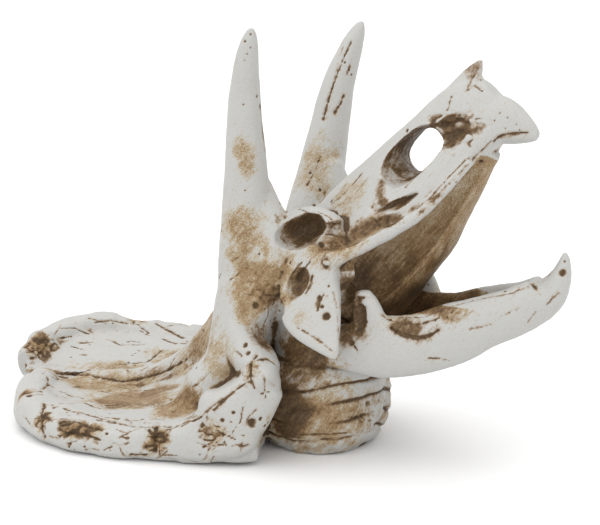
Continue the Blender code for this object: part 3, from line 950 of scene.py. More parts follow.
print("stained so far:", (stain_and_shade > SHOWS).sum(), "points")

# %% [markdown]
# The cracks of the face, the jaws and the cheeks come in pairs, as the sutures between the bones
# of a real skull do. They are listed for one side only.

# %% Sutures of the face, jaws and cheeks
FACE_MARKS = [
    (0.7, 0.8, 1, [(73.5, -7.5, 124.5), (76.5, -7, 127), (84.5, -3.5, 128)]),
    (0.35, 0.3, 0.7, [(11, -15.5, 98), (17, -14.5, 103.5), (22, -11.5, 110)]),
    (0.3, 0.25, 0.6, [(15, -17.5, 97.5), (20.5, -17, 101.5), (26, -14.5, 109)]),
    (0.3, 0.25, 0.6, [(8, -16, 98.5), (12, -14, 100.5), (15, -11.5, 105.5)]),
    (0.5, 0.4, 0.8, [(61.5, -6.5, 142), (62.5, -3, 146.5), (65, -1, 152.5)]),
    (0.4, 0.4, 0.8, [(67.5, -5.5, 142.5), (64, -5, 144.5), (62, -6.5, 142.5)]),
    (0.45, 0.4, 0.8, [(72.5, -8.5, 124.5), (70, -9.5, 121.5), (65.5, -12.5, 117),
                      (60, -17, 109), (54, -21, 101.5), (47, -24, 94.5), (42, -26, 90)]),
    (0.5, 0.5, 0.9, [(4, -28.5, 97.5), (7.5, -30.5, 97.5), (9.5, -31, 97)]),
]
JAW_MARKS = [
    (0.45, 0.4, 0.8, [(95, -6, 66), (97, -5.5, 68.5), (98.5, -4.5, 70)]),
    (0.35, 0.3, 0.5, [(88.5, -10, 58.5), (91, -8.5, 63)]),
    (0.4, 0.35, 0.6, [(43, -24, 59.5), (53, -22.5, 60), (61.5, -18.5, 64), (71, -15.5, 67),
                      (82, -11.5, 69.5), (88, -7.5, 72), (94, -2, 77)]),
    (0.9, 1.0, 1, [(42, -27, 55.5), (45.5, -26.5, 53.5), (51, -25.5, 52.5), (56, -24, 53.5),
                   (58.5, -23, 55.5)]),
    (0.5, 0.5, 0.8, [(38.5, -27, 60), (44.5, -25.5, 57.5), (52, -24, 57.5), (58.5, -21.5, 60)]),
    (0.35, 0.3, 0.6, [(70, -19.5, 56.5), (77, -17, 58.5)]),
    (0.3, 0.25, 0.5, [(80, -15.5, 61.5), (86, -12, 64.5)]),
    (0.45, 0.5, 0.9, [(27, -30, 51), (28, -30.5, 48), (29.5, -30.5, 46.5)]),
]
CHEEK_MARKS = [
    (0.4, 0.3, 0.6, [(23, -37.5, 69.5), (25, -38.5, 64), (26.5, -40, 56), (27, -40.5, 50)]),
    (0.4, 0.3, 0.6, [(25.5, -43, 48.5), (20.5, -43, 51.5), (15, -42.5, 54), (10.5, -42, 55.5)]),
    (0.9, 1, 1, [(12.5, -36, 79.5), (10.5, -36.5, 77), (7.5, -34.5, 72.5)]),
    (0.8, 0.9, 1, [(14, -37.5, 74.5), (13.5, -38, 71), (12, -39, 68)]),
    (0.7, 0.7, 1, [(9, -36.5, 79), (8, -36.5, 77.5), (6, -36.5, 74.5)]),
    (0.6, 0.6, 1, [(19.5, -39, 68), (18, -39.5, 65.5), (18, -40.5, 62.5)]),
]
print("paired cracks:", len(FACE_MARKS + JAW_MARKS + CHEEK_MARKS))

# %% [markdown]
# The two lobes of the frill carry the most scratches, and no two are alike. The last rows are
# broad, shallow folds between the knobs of the rim, and the long cracks down the nape.

# %% Scratches and folds of the frill
FRILL_MARKS = [
    (0.45, 0.45, 0.9, [(-97, -49, 14), (-86, -51, 14), (-75, -53.5, 13.5), (-58, -57, 14),
                       (-46.5, -56.5, 14.5), (-37, -55.5, 15.5)]),
    (0.4, 0.4, 0.8, [(-37, -55.5, 15.5), (-30, -55, 18), (-23.5, -55.5, 20.5), (-16.5, -54.5, 26.5),
                     (-10, -51.5, 32), (-6.5, -50.5, 35)]),
    (0.5, 0.5, 0.9, [(-117.5, -21.5, 16), (-114, -26, 14.5), (-109.5, -36, 15.5), (-111, -39, 16)]),
    (0.5, 0.5, 0.9, [(-104, -26, 12.5), (-93, -31, 12.5)]),
    (0.5, 0.5, 0.9, [(-88.5, -37.5, 13), (-76.5, -41.5, 13.5)]),
    (0.45, 0.4, 0.8, [(-94, -47, 13.5), (-90, -42, 13)]),
    (0.5, 0.5, 0.9, [(-69.5, -56.5, 13.5), (-62, -57, 14), (-56.5, -56.5, 14)]),
    (0.5, 0.5, 0.8, [(-38, -57, 14.5), (-31.5, -55, 17), (-23.5, -55.5, 20.5)]),
    (0.8, 0.9, 1, [(-84, -61.5, 12.5), (-79.5, -60, 13.5), (-72.5, -60.5, 12.5),
                   (-63.5, -62.5, 12)]),
    (0.8, 0.9, 1, [(-83.5, -63, 9.5), (-78, -64, 8.5), (-72, -63.5, 9), (-63.5, -64.5, 8)]),
    (0.9, 1, 1, [(-45, -58, 13.5), (-42.5, -60, 10.5), (-41.5, -60.5, 8)]),
    (0.8, 0.8, 1, [(-36.5, -57, 14), (-37.5, -58.5, 12), (-40, -60, 9)]),
    (0.7, 0.8, 1, [(-51.5, -61, 2.5), (-45.5, -60, 2.5)]),
    (0.5, 0.5, 0.9, [(-17, -56, 16), (-13.5, -55, 14), (-10, -53.5, 12.5)]),
    (0.5, 0.5, 0.9, [(-8.5, -52, 9.5), (-6.5, -50, 10)]),
    (0.6, 0.6, 1, [(-18, -55.5, 23.5), (-14, -53.5, 28), (-10, -51.5, 32), (-5, -50, 35.5)]),
    (0.7, 0.8, 1, [(-5, -45.5, 43.5), (-6, -47.5, 41), (-5.5, -49.5, 36.5), (-3.5, -50, 32.5)]),
    (0.6, 0.7, 1, [(-4.5, -46.5, 42), (-2, -43.5, 42.5), (0.5, -41.5, 40.5)]),
    (0.4, 0.4, 0.7, [(-1.5, -48, 30), (1, -45.5, 30.5)]),
    (0.4, 0.35, 0.7, [(-94.5, -16, 13), (-83.5, -19, 13.5), (-72.5, -23.5, 14.5)]),
    (0.4, 0.35, 0.7, [(-89.5, -9.5, 13.5), (-74.5, -16, 15), (-65, -17.5, 17.5)]),
    (0.35, 0.3, 0.6, [(-73.5, -33, 13.5), (-57.5, -36, 15.5), (-46, -40, 19.5)]),
    (0.35, 0.3, 0.6, [(-42.5, -39.5, 23.5), (-32.5, -42.5, 28.5), (-26.5, -42, 34.5)]),
    (0.6, 0.6, 1, [(-118, -2, 13), (-105, -4, 14), (-91, -6, 14.5), (-81, -6, 16.5),
                   (-72, -6.5, 20), (-58, -8, 28)]),
    (0.6, 0.6, 1, [(-124, 2, 13), (-116, 3, 14), (-112, 9, 14), (-105, 13.5, 15),
                   (-95, 20.5, 17), (-93.5, 31, 18.5)]),
    (0.5, 0.5, 0.9, [(-109, 52, 25.5), (-104, 50.5, 24.5), (-91, 45.5, 21.5)]),
    (0.4, 0.4, 0.8, [(-99.5, 42.5, 21), (-91, 39, 20.5)]),
    (0.6, 0.6, 1, [(-133, 38.5, 26), (-127, 42.5, 26.5), (-120.5, 46, 25.5)]),
    (0.4, 0.4, 0.8, [(-143.5, 27, 25), (-139, 31.5, 24.5), (-134, 34.5, 22)]),
    (0.5, 0.5, 0.9, [(-149, 8.5, 20), (-144.5, 7.5, 18), (-143.5, 7.5, 15.5)]),
    (0.4, 0.4, 0.8, [(-147.5, 13.5, 21), (-145.5, 16.5, 22), (-144, 18, 21.5)]),
    (0.4, 0.4, 0.8, [(-136.5, 24, 18.5), (-130.5, 24, 18)]),
    (0.4, 0.4, 0.8, [(-129, 19.5, 16.5), (-126, 20.5, 16.5)]),
    (0.4, 0.4, 0.8, [(-123.5, 33.5, 20), (-118.5, 32.5, 19), (-114, 30.5, 18.5)]),
    (0.35, 0.3, 0.6, [(-142, 24.5, 21), (-139, 28.5, 21.5)]),
    (0.4, 0.35, 0.7, [(-113, 45, 23), (-107, 43.5, 21.5)]),
    (1.5, 1.4, 0.8, [(-43, -56, 15), (-41, -61, 10), (-42, -60, 4)]),
    (1.3, 1.2, 0.8, [(-99, -50, 14), (-95, -58, 11), (-92, -59, 5)]),
    (1.2, 1.1, 0.8, [(-108, -39, 16), (-114, -43, 13), (-115, -43, 7)]),
    (1.0, 0.9, 0.7, [(-121, -20, 15), (-127, -22, 11), (-127, -22, 5)]),
    (1.4, 1.3, 0.8, [(-58, 58, 19), (-59, 63, 14), (-60, 63, 6)]),
    (1.3, 1.2, 0.8, [(-94, 56, 24), (-99, 62, 18), (-101, 62, 8)]),
    (1.3, 1.2, 0.8, [(-132, 44, 24), (-139, 50, 18), (-140, 50, 8)]),
    (1.0, 1.0, 0.7, [(-150, 24, 20), (-154, 26, 14), (-154, 26, 8)]),
    (0.5, 0.5, 0.8, [(-30, 4, 84), (-36, 3, 75), (-39, 6, 66), (-44, 4, 55), (-54, 6, 41)]),
    (0.4, 0.4, 0.7, [(-30, -12, 80), (-36, -14, 68), (-38, -17, 58), (-46, -20, 44)]),
    (0.4, 0.4, 0.7, [(-28, 16, 80), (-35, 18, 68), (-37, 21, 58), (-46, 24, 44)]),
]
for width, depth, dark, path in FRILL_MARKS:
    groove(HORN_AND_FRILL_SHARE * width, depth, dark, path)
print("stained so far:", (stain_and_shade > SHOWS).sum(), "points")

# %% [markdown]
# The stump is scored along its layers. Its scratches and the paired cracks above are made on both
# sides, with the twin shifted a little, because a hand never repeats itself exactly.

# %% Scratches of the stump, and the paired cracks
STUMP_MARKS = [
    (0.6, 0.6, 1, [(17, -22.5, 17), (20, -19.5, 17), (23, -14.5, 15.5)]),
    (0.6, 0.6, 1, [(23.5, -13.5, 13.5), (25, -7.5, 13)]),
    (0.5, 0.5, 0.9, [(3.5, -26, 9), (11.5, -25, 9.5), (18, -21, 10), (21, -17.5, 10)]),
    (0.5, 0.5, 0.8, [(-0.5, -27, 19), (6.5, -27, 19), (11.5, -25.5, 20)]),
]
TWIN_GROOVE = 0.4, 0, -0.3
on_both_sides(groove, FACE_MARKS + JAW_MARKS + CHEEK_MARKS + STUMP_MARKS, TWIN_GROOVE)
print("stained by marks:", (stain_and_shade > SHOWS).sum(), "points")

# %% [markdown]
# Round pits look like the mouths of small blood vessels. Each is pressed in with a ball tool in
# clay, and here it is a groove of no length. Rows: place and radius.

# %% Pits
PITS = [
    (-6, -51, 161, 0.5), (-4, -50.5, 163.5, 0.45), (-5.5, -50.5, 156.5, 0.4),
    (-5, -43.5, 140.5, 0.6), (-4, -50.5, 158.5, 0.4), (-6.5, -50.5, 154, 0.35),
    (-9.5, 39.5, 147, 0.6), (-8, 40, 144, 0.6), (-7.5, 41, 142, 0.5), (-15, 26.5, 108, 0.6),
    (-18, 25, 103, 0.7), (-18.5, 23.5, 98.5, 0.6), (-13, 24, 96.5, 0.7), (-14.5, 21.5, 90.5, 0.7),
    (-23.5, -56, 17, 0.9), (-14.5, -55, 20, 0.9), (-10.5, -53.5, 23, 0.7), (-4.5, -50, 19, 1.9),
    (-1.5, -48, 20, 0.8), (-1.5, -44.5, 16.5, 0.8), (-10, -44.5, 47, 1), (-8, -46, 44.5, 0.9),
    (-109, -45.5, 15, 1.2), (-114.5, -42, 15, 1), (-146.5, 14, 21, 1.1), (-146.5, 9.5, 20, 1),
    (-143.5, 16, 19.5, 0.9),
]
PAIRED_PITS = [
    (-9, -38.5, 61, 1.6), (99.5, -3.5, 77.5, 1.6), (99.5, -2, 81.5, 0.5), (18, -39.5, 67, 1),
    (19.5, -40, 64, 0.8), (21.5, -40.5, 60.5, 1.6), (21, -37.5, 71.5, 0.5), (29, -29.5, 66, 1),
    (30, -29.5, 63, 1), (28, -29, 60, 0.8), (31.5, -29.5, 66.5, 0.7), (27, -30.5, 49, 1.3),
    (75, -7, 135, 0.35), (78, -6.5, 133.5, 0.35), (81, -5.5, 131, 0.3), (77.5, -7, 129.5, 0.3),
    (82, -5, 129, 0.3), (73.5, -8, 132.5, 0.35), (58.5, -20.5, 62.5, 0.4), (61.5, -21, 60.5, 0.4),
    (57.5, -22.5, 59, 0.4), (63, -20, 62.5, 0.35), (10.5, -14, 99, 0.7),
]
TWIN_PIT = 0.5, 0, 0.4
for *spot, radius in PITS:
    pit(radius, spot)
on_both_sides(pit, [(radius, [spot]) for *spot, radius in PAIRED_PITS], TWIN_PIT)
print("pits:", len(PITS) + 2 * len(PAIRED_PITS))

# %% [markdown]
# Between the marks that the sculptor placed lie many that the tool left by chance: short
# scratches that run with the grain of the bone, and pinholes where air was caught in the cast.

# %% Scratches and pinholes left by chance
chance = np.random.default_rng(20)
LENGTHS, WIDTHS, DARKNESS = (1.5, 5.5), (0.22, 0.45), (0.5, 1)
PINHOLES = 0.3, 0.75
ASKEW, BENT = 0.25, 0.15
GRAIN = np.array([[-1, 0.3, 0.1], [-1, -0.3, 0.1], [0.6, 0.1, 0.8], [0.1, 0.2, -1]])


def scatter(count, low, high, scored):
    """Scratches (or pinholes) at random points of the skin inside a box."""
    inside = np.flatnonzero(((points > low) & (points < high)).all(1))
    for at in chance.choice(inside, count):
        grain_way = GRAIN[chance.integers(4)] + chance.normal(0, ASKEW, 3)
        way = unit(grain_way - (grain_way @ normals[at]) * normals[at])
        length, width = chance.uniform(*LENGTHS), chance.uniform(*WIDTHS)
        bend = np.cross(normals[at], way) * chance.normal(0, BENT) * length
        if scored:
            steps = [-length * way, bend, length * way]
            groove(width, width, chance.uniform(*DARKNESS), points[at] + np.array(steps))
        else:
            pit(chance.uniform(*PINHOLES), points[at])


FAR_SIDE = (-160, -2, 3), (12, 70, 98)
NEAR_SIDE = (-160, -70, 3), (0, 0, 98)
FACE_BOX = (10, -40, 30), (100, 40, 150)
UPPER_BOX = (-30, -60, 60), (100, 60, 166)
NEAR_RIM = (-125, -70, 2), (0, -50, 22)
scatter(120, *FAR_SIDE, scored=True)
scatter(70, *FAR_SIDE, scored=False)
scatter(50, *NEAR_SIDE, scored=True)
scatter(30, *NEAR_SIDE, scored=False)
scatter(24, *FACE_BOX, scored=True)
scatter(40, *UPPER_BOX, scored=False)
scatter(45, *NEAR_RIM, scored=True)
scatter(25, *NEAR_RIM, scored=False)
print("stained by marks and chance:", (stain_and_shade > SHOWS).sum(), "points")

# %% [markdown]
# The wash pools in whole cavities as well, and it is left thinly over larger parts. Rows: amount,
# middle and half sizes of a stretched ball. In a cavity only the walls are stained, so the rim
# round the hole stays white.

# %% Stained cavities
PAIRED_CAVITIES = [
    (0.8, (8, 28, 90.5), (13, 13, 10)),
    (0.75, (43, 6, 119), (20, 17, 16)),
    (0.75, (58, 10, 128.5), (17, 9, 13)),
    (0.6, (26, 31, 91), (16, 9, 8)),
    (0.6, (40, 26, 96), (12, 7, 5)),
    (0.8, (34, 20, 103), (5, 7, 10)),
    (0.75, (42, 22, 101.5), (12, 7, 4)),
    (0.65, (8.5, 36, 72.5), (7, 7, 10)),
    (0.7, (-0.5, 36, 60.5), (9, 9, 8)),
    (0.7, (-4, 35, 50), (11, 11, 9)),
    (0.8, (31, 31, 58), (8, 10, 15)),
]
PAIRED_STAINS = [
    (0.62, (49, 26, 56), (12, 5, 4.5)),
    (0.65, (25, 27, 58), (7, 8, 17)),
    (0.8, (24, 25, 72), (7, 8, 9)),
    (0.7, (25, 24, 65), (8, 8, 9)),
    (0.55, (-122, 1, 13), (20, 4, 6)),
    (0.46, (-62, 20, 16), (24, 10, 6)),
    (0.42, (-50, 9, 34), (13, 9, 13)),
    (0.34, (-5, 37, 67), (13, 9, 11)),
    (0.6, (4, 26, 40), (20, 12, 16)),
    (0.5, (-3, 36, 66), (10, 8, 9)),
    (0.75, (-2, 27, 18), (15, 12, 20)),
    (0.35, (10, 10, 16), (24, 22, 18)),
    (0.45, (62, 2.5, 151), (5, 3, 6)),
    (0.55, (-128, 1, 11), (14, 4, 8)),
    (0.4, (-70, 5, 19), (26, 3, 8)),
    (0.5, (-72, 33, 13), (22, 8, 5)),
    (0.42, (-56, 34, 15), (12, 10, 5)),
    (0.5, (-38, 42, 23), (15, 6, 7)),
    (0.3, (-26, 36, 48), (6, 8, 14)),
]
EYE_PIT_ROWS = [
    (19, 31, 86.5, 9, 5), (27, 28, 91, 8, 5), (35, 26, 94, 8, 4), (43, 24, 96.5, 7, 2.5),
]
STEM_ROWS = [(33, 20, 108, 6, 3), (34, 21, 103, 6, 3.5), (37, 22, 101, 6, 2.5)]

tint_both(stain_and_shade, PAIRED_CAVITIES, cavity=True)
tint_both(stain_and_shade, PAIRED_STAINS)
lining(stain_and_shade, 0.62, EYE_PIT_ROWS)
lining(stain_and_shade, 0.6, STEM_ROWS)
print("stained with cavities:", (stain_and_shade > SHOWS).sum(), "points")

# %% [markdown]
# A tan was sprayed on thinly where the cast should look aged: at the foot of the horns, along
# the nape, on the palate and over the stump. The rows are like those of the stains.

# %% Tan sprays
PAIRED_TANS = [
    (1.1, (-6, 37, 69), (16, 9, 18)),
    (0.95, (-14, 39, 88), (10, 8, 18)),
    (0.6, (0, 38, 78), (10, 8, 10)),
    (0.75, (-11, 43, 119), (4.5, 6, 17)),
    (0.75, (40, 4, 50), (44, 16, 8)),
    (0.85, (8, 26, 40), (20, 10, 14)),
    (1.0, (0, 20, 16), (34, 26, 20)),
    (0.8, (-46, 10, 40), (22, 14, 20)),
    (0.75, (-24, 39, 38), (12, 9, 18)),
    (1.1, (-42, 42, 20), (20, 9, 11)),
    (1.1, (-70, 26, 15), (34, 17, 8)),
    (0.9, (-98, 10, 15), (34, 12, 8)),
    (0.55, (-60, 10, 26), (20, 10, 12)),
    (0.5, (-20, 32, 95), (12, 9, 12)),
    (0.5, (16, 16, 101), (15, 11, 12)),
    (0.5, (11, 40, 59), (6, 5, 5)),
    (0.7, (-15, 27, 104), (10, 9, 20)),
    (0.5, (48, 26, 58), (16, 6, 7)),
    (0.55, (20, 34, 82), (16, 8, 12)),
]
tint_both(tan, PAIRED_TANS)
lining(tan, 0.9, [(19, 31, 84, 9, 9), (33, 27, 92, 9, 8)])
print("sprayed:", (tan > SHOWS).sum(), "points")

# %% [markdown]
# Some places look like the spongy inside of bone: the broken knobs of the rim, the pits round
# the eye and the tip of the beak. A real sponge, pressed into the clay, leaves such a pattern.
# Here the place is only noted, and the sponge comes with the layers further down.

# %% Rough bone
PAIRED_ROUGH = [
    (0.9, (58, 11, 129), (12, 5, 9)),
    (0.6, (24, 31, 90.5), (13, 6, 6)),
    (0.7, (19.5, 37, 80), (3, 4, 4)),
    (0.5, (38, 26, 95), (10, 4, 3.5)),
    (0.7, (29.5, 29, 64), (4, 3, 6)),
    (0.8, (-0.5, 34, 60.5), (6.5, 6, 5.5)),
    (0.6, (-6, 37, 68), (9, 6, 9)),
]
RIM_ROUGH = [
    (1.0, (-74, -62.5, 10.5), (13, 5, 5.5)),
    (1.0, (-94, -58, 11), (6, 6, 6)),
    (1.0, (-41, -60, 11), (6, 5, 8)),
    (1.0, (-113, -43, 13), (6, 6, 7)),
    (1.0, (-146, 13, 20), (7, 9, 7)),
    (0.9, (-60, 63, 14), (9, 4, 5)),
    (0.9, (-84, 64, 14), (8, 4, 5)),
    (0.9, (-100, 63, 14), (5, 4, 6)),
    (0.9, (-122, 58, 16), (9, 5, 6)),
    (0.9, (-142, 45, 17), (6, 6, 6)),
    (0.8, (-154, 22, 14), (4, 8, 5)),
    (0.7, (-24, 56, 14), (7, 5, 6)),
    (0.7, (-136, 0, 10), (15, 5, 9)),
    (0.6, (-118, 50, 24), (9, 5, 4)),
    (0.5, (-6, -50, 38), (5, 5, 8)),
    (0.5, (-20, -55, 14), (7, 4, 7)),
]
STAIN_OF_ROUGH, TAN_OF_ROUGH = 0.42, 1.2
tint_both(rough, PAIRED_ROUGH)
for amount, centre, sizes in RIM_ROUGH:
    tint(rough, amount, centre, sizes)
    tint(stain_and_shade, STAIN_OF_ROUGH * amount, centre, sizes)
    tint(tan, TAN_OF_ROUGH * amount, centre, sizes)
print("rough:", (rough > SHOWS).sum(), "points")

# %% [markdown]
# The inside of the mouth is tan all over. Towards the throat, which lies lower and deeper in, it
# is browner: that is painted shade. Its skin is found by where it lies and which way it faces.
# Along the snout the lining narrows from the cheeks to the beak; below, it lies between the jaws.

# %% The lining of the mouth, with painted shade towards the throat
NOSTRIL_X, NOSTRIL_Z = 43, 119
SNOUT_RUN, SNOUT_RISE = 0.64, 0.77  # the way the snout points
ROOF_HALF_WIDTH, ROOF_NARROWING = 16.5, 0.36
FLOOR_HALF_WIDTH = 22.5
SOFT_EDGE = 1.5
MOUTH_BACK, FLOOR_FRONT = 16, 76
FLOOR_LOW, FLOOR_TOP = 40, 64
JAW_LEVEL, JAW_BEND, JAW_START = 45, 38, 56  # the top of the lower jaw, flat and then rising
JAW_RISE = 0.62


def inside_mouth():
    """1 on the skin that lines the mouth, from the roof of the snout down to the tongue."""
    x, y, z = points.T
    below = (x - NOSTRIL_X) * SNOUT_RISE - (z - NOSTRIL_Z) * SNOUT_RUN
    along = (x - NOSTRIL_X) * SNOUT_RUN + (z - NOSTRIL_Z) * SNOUT_RISE
    roof = held((ROOF_HALF_WIDTH - ROOF_NARROWING * along - np.abs(y)) / SOFT_EDGE)
    roof = roof * held((below - 8) / 3) * (along < 17)
    jaw_top = np.where(x > JAW_BEND, JAW_START + (x - JAW_BEND) * JAW_RISE, JAW_LEVEL)
    roof = roof * (z > jaw_top) * ((np.abs(y) < 23) | (z > 76)) * (x > MOUTH_BACK)
    facing = np.maximum(normals[:, 2], -np.sign(y) * normals[:, 1])
    floor = held((FLOOR_HALF_WIDTH - np.abs(y)) / SOFT_EDGE) * held(4 * facing)
    floor = floor * held((FLOOR_FRONT - x) / 20) * (x > MOUTH_BACK)
    return np.maximum(roof, floor * (z < FLOOR_TOP) * (z > FLOOR_LOW))


lined = inside_mouth()
# Painted shade: browner towards the throat, which lies lower and deeper in the mouth, and mottled.
deep = np.clip(0.75 - (points[:, 2] - 55) / 75, 0.12, 0.62) * (0.6 + 0.8 * mottle(points, 6, 26))
tan = np.maximum(tan, lined)
# The painted shade of the mouth goes in with the stains.
stain_and_shade = np.maximum(stain_and_shade, lined * deep)
print("lining of the mouth:", (lined > SHOWS).sum(), "points")

# %% [markdown]
# Last come the stump's layers, like weathered rock: a sine of the height, bent by noise and
# broken off in places. The frill gets low blocks, rough bone its sponge, and all of the skin the
# small unevenness that every cast from clay has. Each moves the points along their normals.

# %% Layers and unevenness
x, y, z = points.T
SPONGE_DEPTH, SPONGE_HOLES, SPONGE_SOAK = 1.3, 0.45, 1.8
LAYER, BENDING = 7.5, 9  # height of one layer of the stump, and how far noise bends it
LEDGE_DEPTH, LEDGE_NOISE, STUMP_NOISE, LAYER_STAIN = 1.3, 1.6, 3.2, 1.1
BLOCK_DEPTH, BLOCK_NOISE = 1.5, 0.8
LUMPY, SMALL, GRAINY = 0.5, 0.28, 0.1
GROUND_ZONE = 1.5  # the foot stays flat below this height

spongy = np.abs(mottle(points * (0.5, 0.7, 1), 2.0, 14) - 0.5) * 2
pitted = held(SPONGE_HOLES - spongy) / SPONGE_HOLES
sink += rough * SPONGE_DEPTH * pitted
stain_and_shade = np.maximum(stain_and_shade, rough * held(pitted * SPONGE_SOAK))

layers = np.sin(2 * np.pi * (z + BENDING * mottle(points * (0.6, 0.6, 1), 14, 15)) / LAYER)
broken = held(2.2 * mottle(points, 9, 17) - 0.5)
ledges = LEDGE_DEPTH * np.maximum(layers, 0) ** 3 * broken
ledges = ledges + LEDGE_NOISE * (mottle(points, 4, 18) - 0.5)
on_stump = held((34 - z) / 4) * held((x + 22) / 8) * held((31 - np.abs(y)) / 4)
sink += on_stump * (ledges + STUMP_NOISE * (mottle(points, 9, 16) - 0.5))
stain_and_shade = np.maximum(stain_and_shade, on_stump * LAYER_STAIN * np.maximum(layers, 0) ** 4 * broken)

on_frill = held((-x - 0.22 * z - 20) / 10) + held((np.abs(y) - 40) / 6) * (z < 60)
blocks = held(3 * mottle(points, 15, 19) - 1)
blocky = BLOCK_DEPTH * (blocks - 0.5) + BLOCK_NOISE * (mottle(points, 6, 20) - 0.5)
sink += np.minimum(on_frill, 1) * blocky

sizes_and_seeds = (13, 11), (5, 12), (1.7, 13)
lumpy, small, grainy = (mottle(points, size, seed) - 0.5 for size, seed in sizes_and_seeds)
sink += LUMPY * lumpy + SMALL * small + GRAINY * grainy
points -= normals * (sink * held(z / GROUND_ZONE))[:, None]
points[:, 2] = np.maximum(points[:, 2], 0)
normals = normals_of(points, triangles)
print("deepest mark:", sink.max().round(2), "mm")

# %% [markdown]
# A brown wash was brushed over the white cast and wiped off, so it stays in every hollow. How
# hollow a place is shows when its surroundings are averaged: the average lies outside the skin
# in a groove and inside it on a ridge. Two reaches are used: a short one for the wash in pits and
# cracks, and a long one that darkens whole cavities, partly with wash and partly as painted shade.

# %% Where the wash stays, and painted shade in whole cavities
NEAR_ROUNDS, FAR_ROUNDS = 6, 60
FINE_GAIN, FINE_MOST = 3.5, 0.8
WIDE_START, WIDE_MOST = 0.3, 0.5
# Gain and ceiling of the darkening: wash, and painted shade of cavities and of the mouth.
DARKENING_GAIN, DARKENING_MOST = 1.3, 1.2


def averaged(values, edges, rounds):
    """Each point's values averaged with its neighbours', a number of rounds over."""
    count = np.maximum(np.bincount(edges[:, 0], minlength=len(values)), 1)[:, None]
    for _ in range(rounds):
        values = 0.5 * values + 0.5 * sums(edges[:, 0], values[edges[:, 1]], len(values)) / count
    return values


sides = np.concatenate([triangles[:, [0, 1]], triangles[:, [1, 2]], triangles[:, [2, 0]]])
edges = np.unique(np.concatenate([sides, sides[:, ::-1]]), axis=0)
near = averaged(points, edges, NEAR_ROUNDS)
far = averaged(near, edges, FAR_ROUNDS)
fine_hollow = ((near - points) * normals).sum(1)
wide_hollow = ((far - points) * normals).sum(1)
hollow = np.clip(fine_hollow * FINE_GAIN, 0, FINE_MOST)
# The long reach darkens whole cavities: partly wash, partly painted shade.
hollow = hollow + np.clip(wide_hollow - WIDE_START, 0, WIDE_MOST)
# The wash together with the painted shade of cavities and of the mouth, scaled and held.
wash_and_shade = np.clip(DARKENING_GAIN * np.maximum(stain_and_shade, hollow), 0, DARKENING_MOST)
print("hollowness in mm:", np.percentile(fine_hollow, (1, 50, 99)).round(3),
      np.percentile(wide_hollow, (1, 50, 99)).round(2))

# %% [markdown]
# One body of this size is too fine for one piece, so its skin is shared out. Flat cuts part the
# room into cells, and each triangle goes to the first cell of the list that its middle lies in.
# The skull takes what is left. A flat cut has the advantage that one plain face can close the
# piece at it, out of sight inside the casting.

# %% Cells
middle = points[triangles].mean(1)
x, y, z = middle.T
REAR_CUT, REAR_LEAN = -27, 0.22
HORN_CUT, CHEEK_CUT, STUMP_CUT = 100, 66, 22
JAW_BACK, JAW_TOP = 42, 64
MUZZLE_BACK, MUZZLE_FOOT = 20, 95

rear = x + REAR_LEAN * z < REAR_CUT
CELLS = [
    ("left_lobe", rear & (y > 0)),
    ("right_lobe", rear),
    ("horns", (z > HORN_CUT) & (x < 0)),
    ("lower_jaw", (x > JAW_BACK) & (z < JAW_TOP + (x - JAW_BACK) * JAW_RISE)),
    ("muzzle", (x - MUZZLE_BACK) * 0.74 + (z - MUZZLE_FOOT) * 0.67 > 0),
    ("stump", z < STUMP_CUT),
    ("cheeks", z < CHEEK_CUT),
]
names = np.full(len(triangles), "skull", dtype="U12")
for name, inside in reversed(CELLS):
    names[inside] = name
print("triangles:", {str(name): int((names == name).sum()) for name in np.unique(names)})

# %% [markdown]
# A piece that is cut out of a skin is open at its border. A wall runs from the border a little
# way into the casting, to a ring that is smoothed along its way, and one many-sided face closes
# the ring. Where a border turns from one flat cut into the next, each run of it gets a face of
# its own, because a face that turned a corner would bulge out of the casting.

# %% Closing a border
def border_loops(border):
    """Follows border edges head to tail into closed loops of edge numbers."""
    following = {}
    for number, start in enumerate(border[:, 0].tolist()):
        following.setdefault(start, []).append(number)
    left = set(range(len(border)))
    loops = []
    while left:
        loop = [min(left)]
        while loop[-1] in left:
            left.discard(loop[-1])
            onward = [n for n in following[int(border[loop[-1], 1])] if n in left]
            loop += onward[:1]
        loops.append(loop)
    return loops


def caps_of(border, cut):
    """One many-sided face for each run of a loop that lies in one flat cut."""
    caps = []
    for loop in border_loops(border):
        turns = np.flatnonzero(cut[loop] != np.roll(cut[loop], 1))
        if len(turns) == 0:
            caps.append(border[loop, 0][::-1])
            continue
        loop = np.roll(loop, -turns[0])
        starts = np.flatnonzero(cut[loop] != np.roll(cut[loop], 1))
        for run in np.split(loop, starts[1:]):
            if len(run) > 1:
                caps.append(np.append(border[run, 0], border[run[-1], 1])[::-1])
    return caps


square = np.array([(0, 1), (1, 2), (2, 3), (3, 0)])
print("caps of a square in one cut:", len(caps_of(square, np.zeros(4))))

# %% [markdown]
# Neighbouring pieces share their border points and the direction those points face, so no seam
# shows between them. The wash with its painted shade, and the tan, are kept at each point, for
# the paint to read.

# %% The pieces
INSET = 0.8  # how deep the inner ring lies
RING_ROUNDS = 12
owner = np.tile(np.arange(len(triangles)), 3)
key = sides[:, 0].astype(np.int64) * len(points) + sides[:, 1]
turned_key = sides[:, 1].astype(np.int64) * len(points) + sides[:, 0]
order = np.argsort(key)
across = owner[order[np.searchsorted(key[order], turned_key)]]


